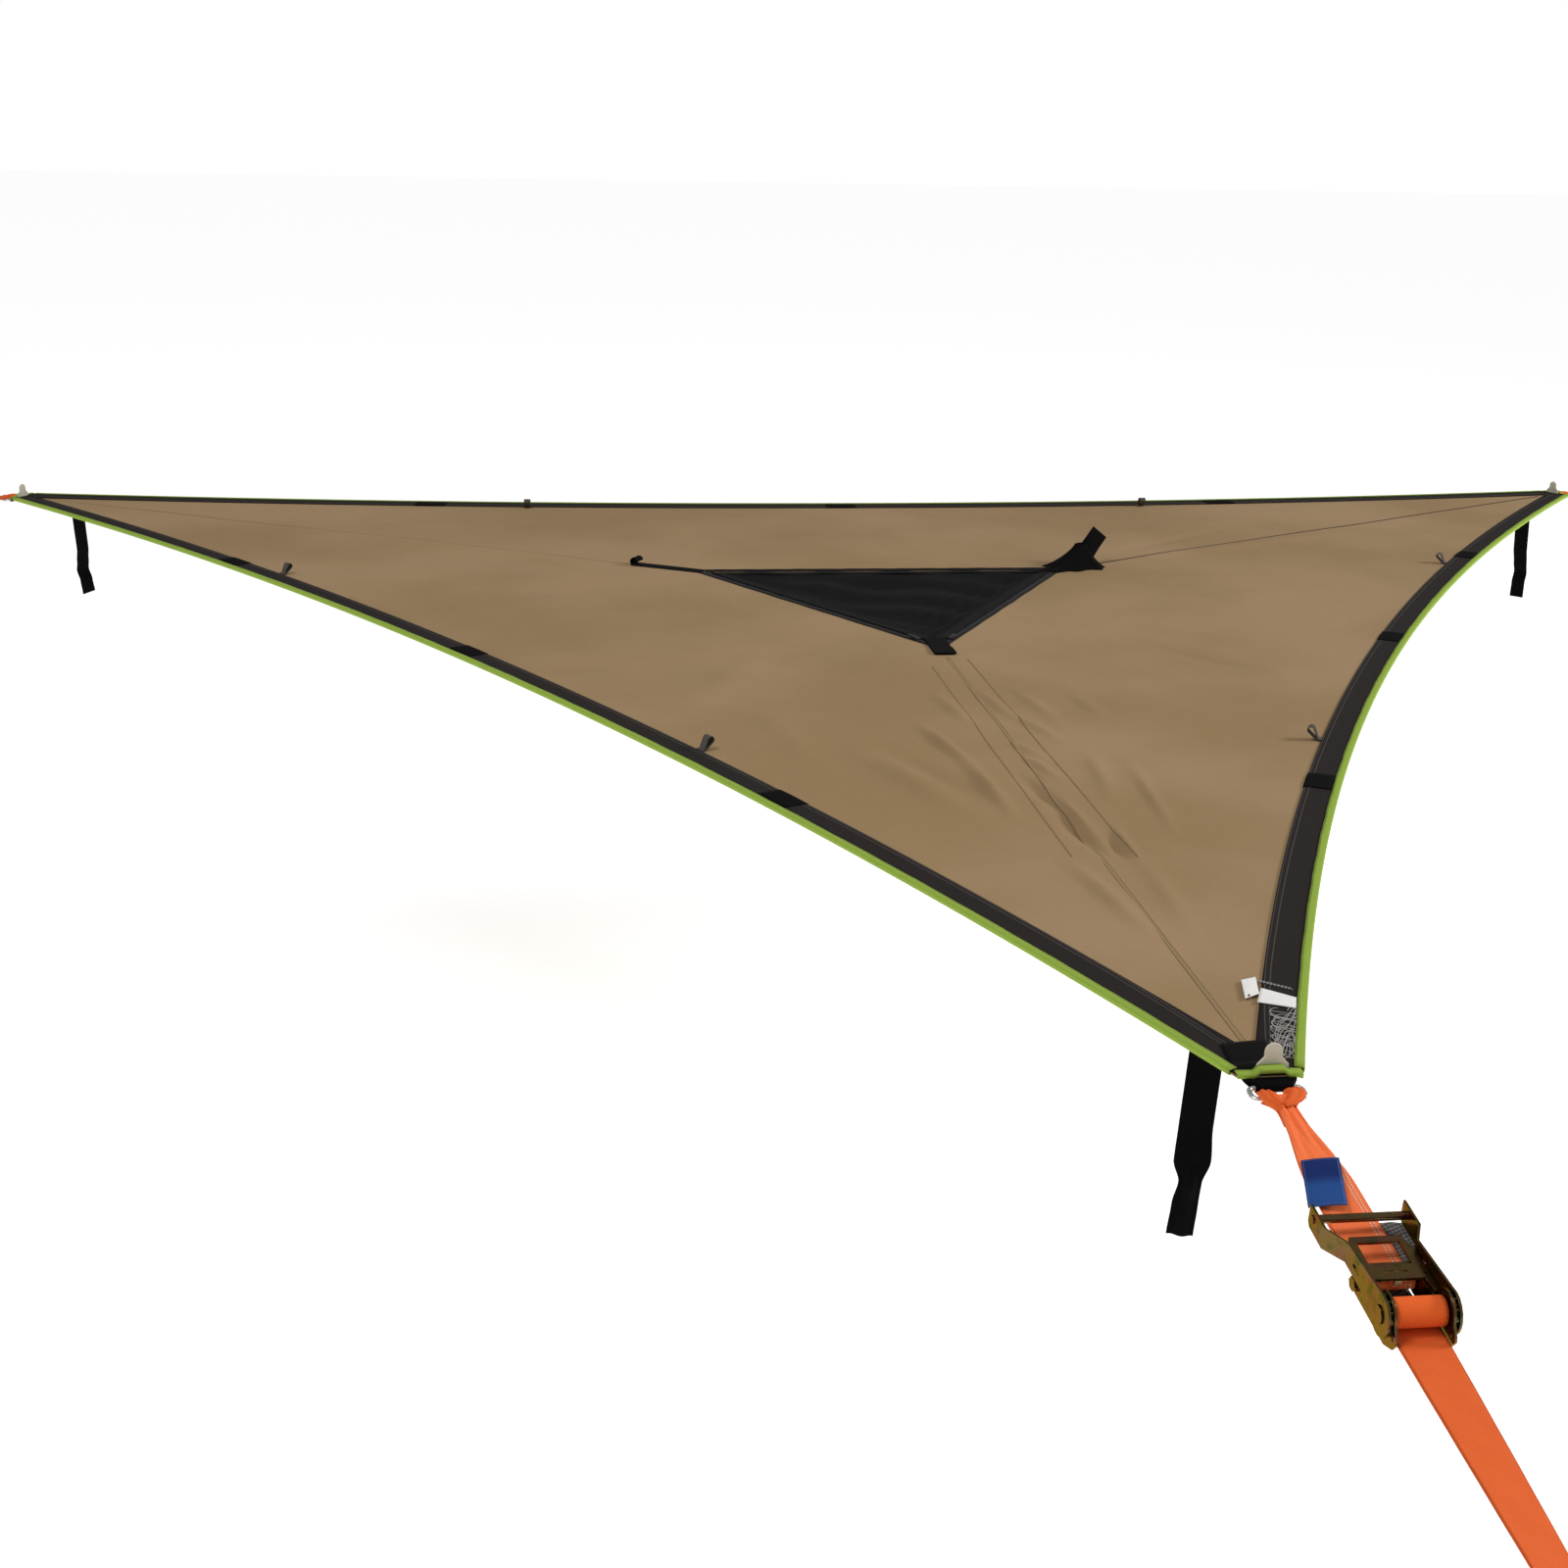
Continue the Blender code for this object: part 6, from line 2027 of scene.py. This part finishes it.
@dataclass
class Studio:
    """Camera, lamps and a plain pale floor."""

    eye: tuple[float, float, float] = (-0.7925, -4.3912, 0.9947)
    right: tuple[float, float, float] = (0.99264, -0.11954, 0.01948)
    down: tuple[float, float, float] = (-0.018, -0.30462, -0.95231)
    ahead: tuple[float, float, float] = (0.11977, 0.94494, -0.30453)
    lens: float = 49.09
    floor_level: float = -1.30
    ambient: float = 0.44
    reflected: float = 0.38

    def camera(self) -> None:
        """The camera, where the picture was taken from."""
        data = bpy.data.cameras.new("view")
        data.sensor_width = 36.0
        data.lens = self.lens
        obj = bpy.data.objects.new("view", data)
        columns = (Vector(self.right), -Vector(self.down), -Vector(self.ahead))
        turn = Matrix(columns).transposed().to_4x4()
        obj.matrix_world = Matrix.Translation(self.eye) @ turn
        bpy.context.scene.collection.objects.link(obj)
        bpy.context.scene.camera = obj

    def lamp(self, name: str, place: Vector, target: Vector, size: float, power: float) -> None:
        """One soft square lamp that looks at a target.

        Args:
            name: the lamp's name.
            place: where it stands.
            target: what it looks at.
            size: its side.
            power: its power in watts.
        """
        data = bpy.data.lights.new(name, "AREA")
        data.size = size
        data.energy = power
        obj = bpy.data.objects.new(name, data)
        obj.location = place
        obj.rotation_euler = (target - place).to_track_quat("-Z", "Y").to_euler()
        bpy.context.scene.collection.objects.link(obj)

    def surroundings(self) -> None:
        """White for the camera, softer light for the surfaces."""
        world = bpy.data.worlds.new("studio")
        world.use_nodes = True
        net = Net(world.node_tree)
        path = net.node("ShaderNodeLightPath")
        seen = Signal(net, path.outputs["Is Camera Ray"])
        mirrored = Signal(net, path.outputs["Is Glossy Ray"])
        back = world.node_tree.nodes["Background"]
        strength = seen * (1.0 - self.ambient) - mirrored * (self.ambient - self.reflected) + self.ambient
        net.feed(back.inputs["Strength"], strength)
        back.inputs["Color"].default_value = (1.0, 1.0, 1.0, 1.0)
        bpy.context.scene.world = world
        bpy.context.scene.view_settings.view_transform = "Standard"

    def ground(self) -> None:
        """A wide pale floor below the tent that keeps a faint shadow."""
        bm = bmesh.new()
        bmesh.ops.create_grid(bm, x_segments=4, y_segments=4, size=60.0)
        bmesh.ops.translate(bm, verts=bm.verts, vec=(0, 0, self.floor_level))
        obj = as_object("studio_floor", bm)
        material = bpy.data.materials.new("studio_floor_paint")
        material.use_nodes = True
        net = Net(material.node_tree)
        grain = net.noise(net.place(), 3.0, 3.0)
        net.dress("Base Color", net.mix(grey(0.95), grey(0.97), grain))
        net.dress("Roughness", 1.0)
        net.dress("Specular IOR Level", 0.0)
        net.dress("Emission Color", grey(1.0))
        net.dress("Emission Strength", 0.55)
        obj.data.materials.append(material)
        obj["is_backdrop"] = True

    def build(self) -> None:
        """Sets the studio up."""
        self.camera()
        self.surroundings()
        self.lamp("key", Vector((-3.5, -3.0, 5.8)), Vector((0.0, -0.8, 0.0)), 2.0, 155.0)
        self.lamp("rake", Vector((9.0, -1.5, 4.6)), Vector((0.0, -0.8, 0.0)), 2.0, 560.0)
        self.ground()


def as_plain(value: object) -> object:
    """A value as plain lists and numbers.

    Args:
        value: a value read from the record.

    Returns:
        The plain value.
    """
    if isinstance(value, dict):
        return {key: as_plain(item) for key, item in value.items()}
    if hasattr(value, "__len__") and not isinstance(value, str):
        return [as_plain(item) for item in value]
    return value if isinstance(value, (str, bool)) or value is None else float(value)


def main() -> None:
    """Builds every sub-assembly in order."""
    logging.basicConfig(level=logging.INFO, format="%(name)s %(message)s")
    before = as_plain(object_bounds())
    assemblies = [FloorCloth("floor"), Edging("edging")]
    assemblies += [Corner(name + " corner", name=name) for name in CORNERS]
    assemblies += [NearLine("near line")]
    assemblies += [SideLine(name + " line", name=name) for name in ("right", "left")]
    assemblies += [Ratchet("ratchet"), Hatch("hatch"), CornerTrim("corner trim")]
    for assembly in assemblies:
        assembly.build()
        LOG.info("%s: %d pieces", assembly.title, len(assembly.pieces))
    Studio().build()
    {"frame": before, "finished": as_plain(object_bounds())}


if __name__ == "__main__":
    main()
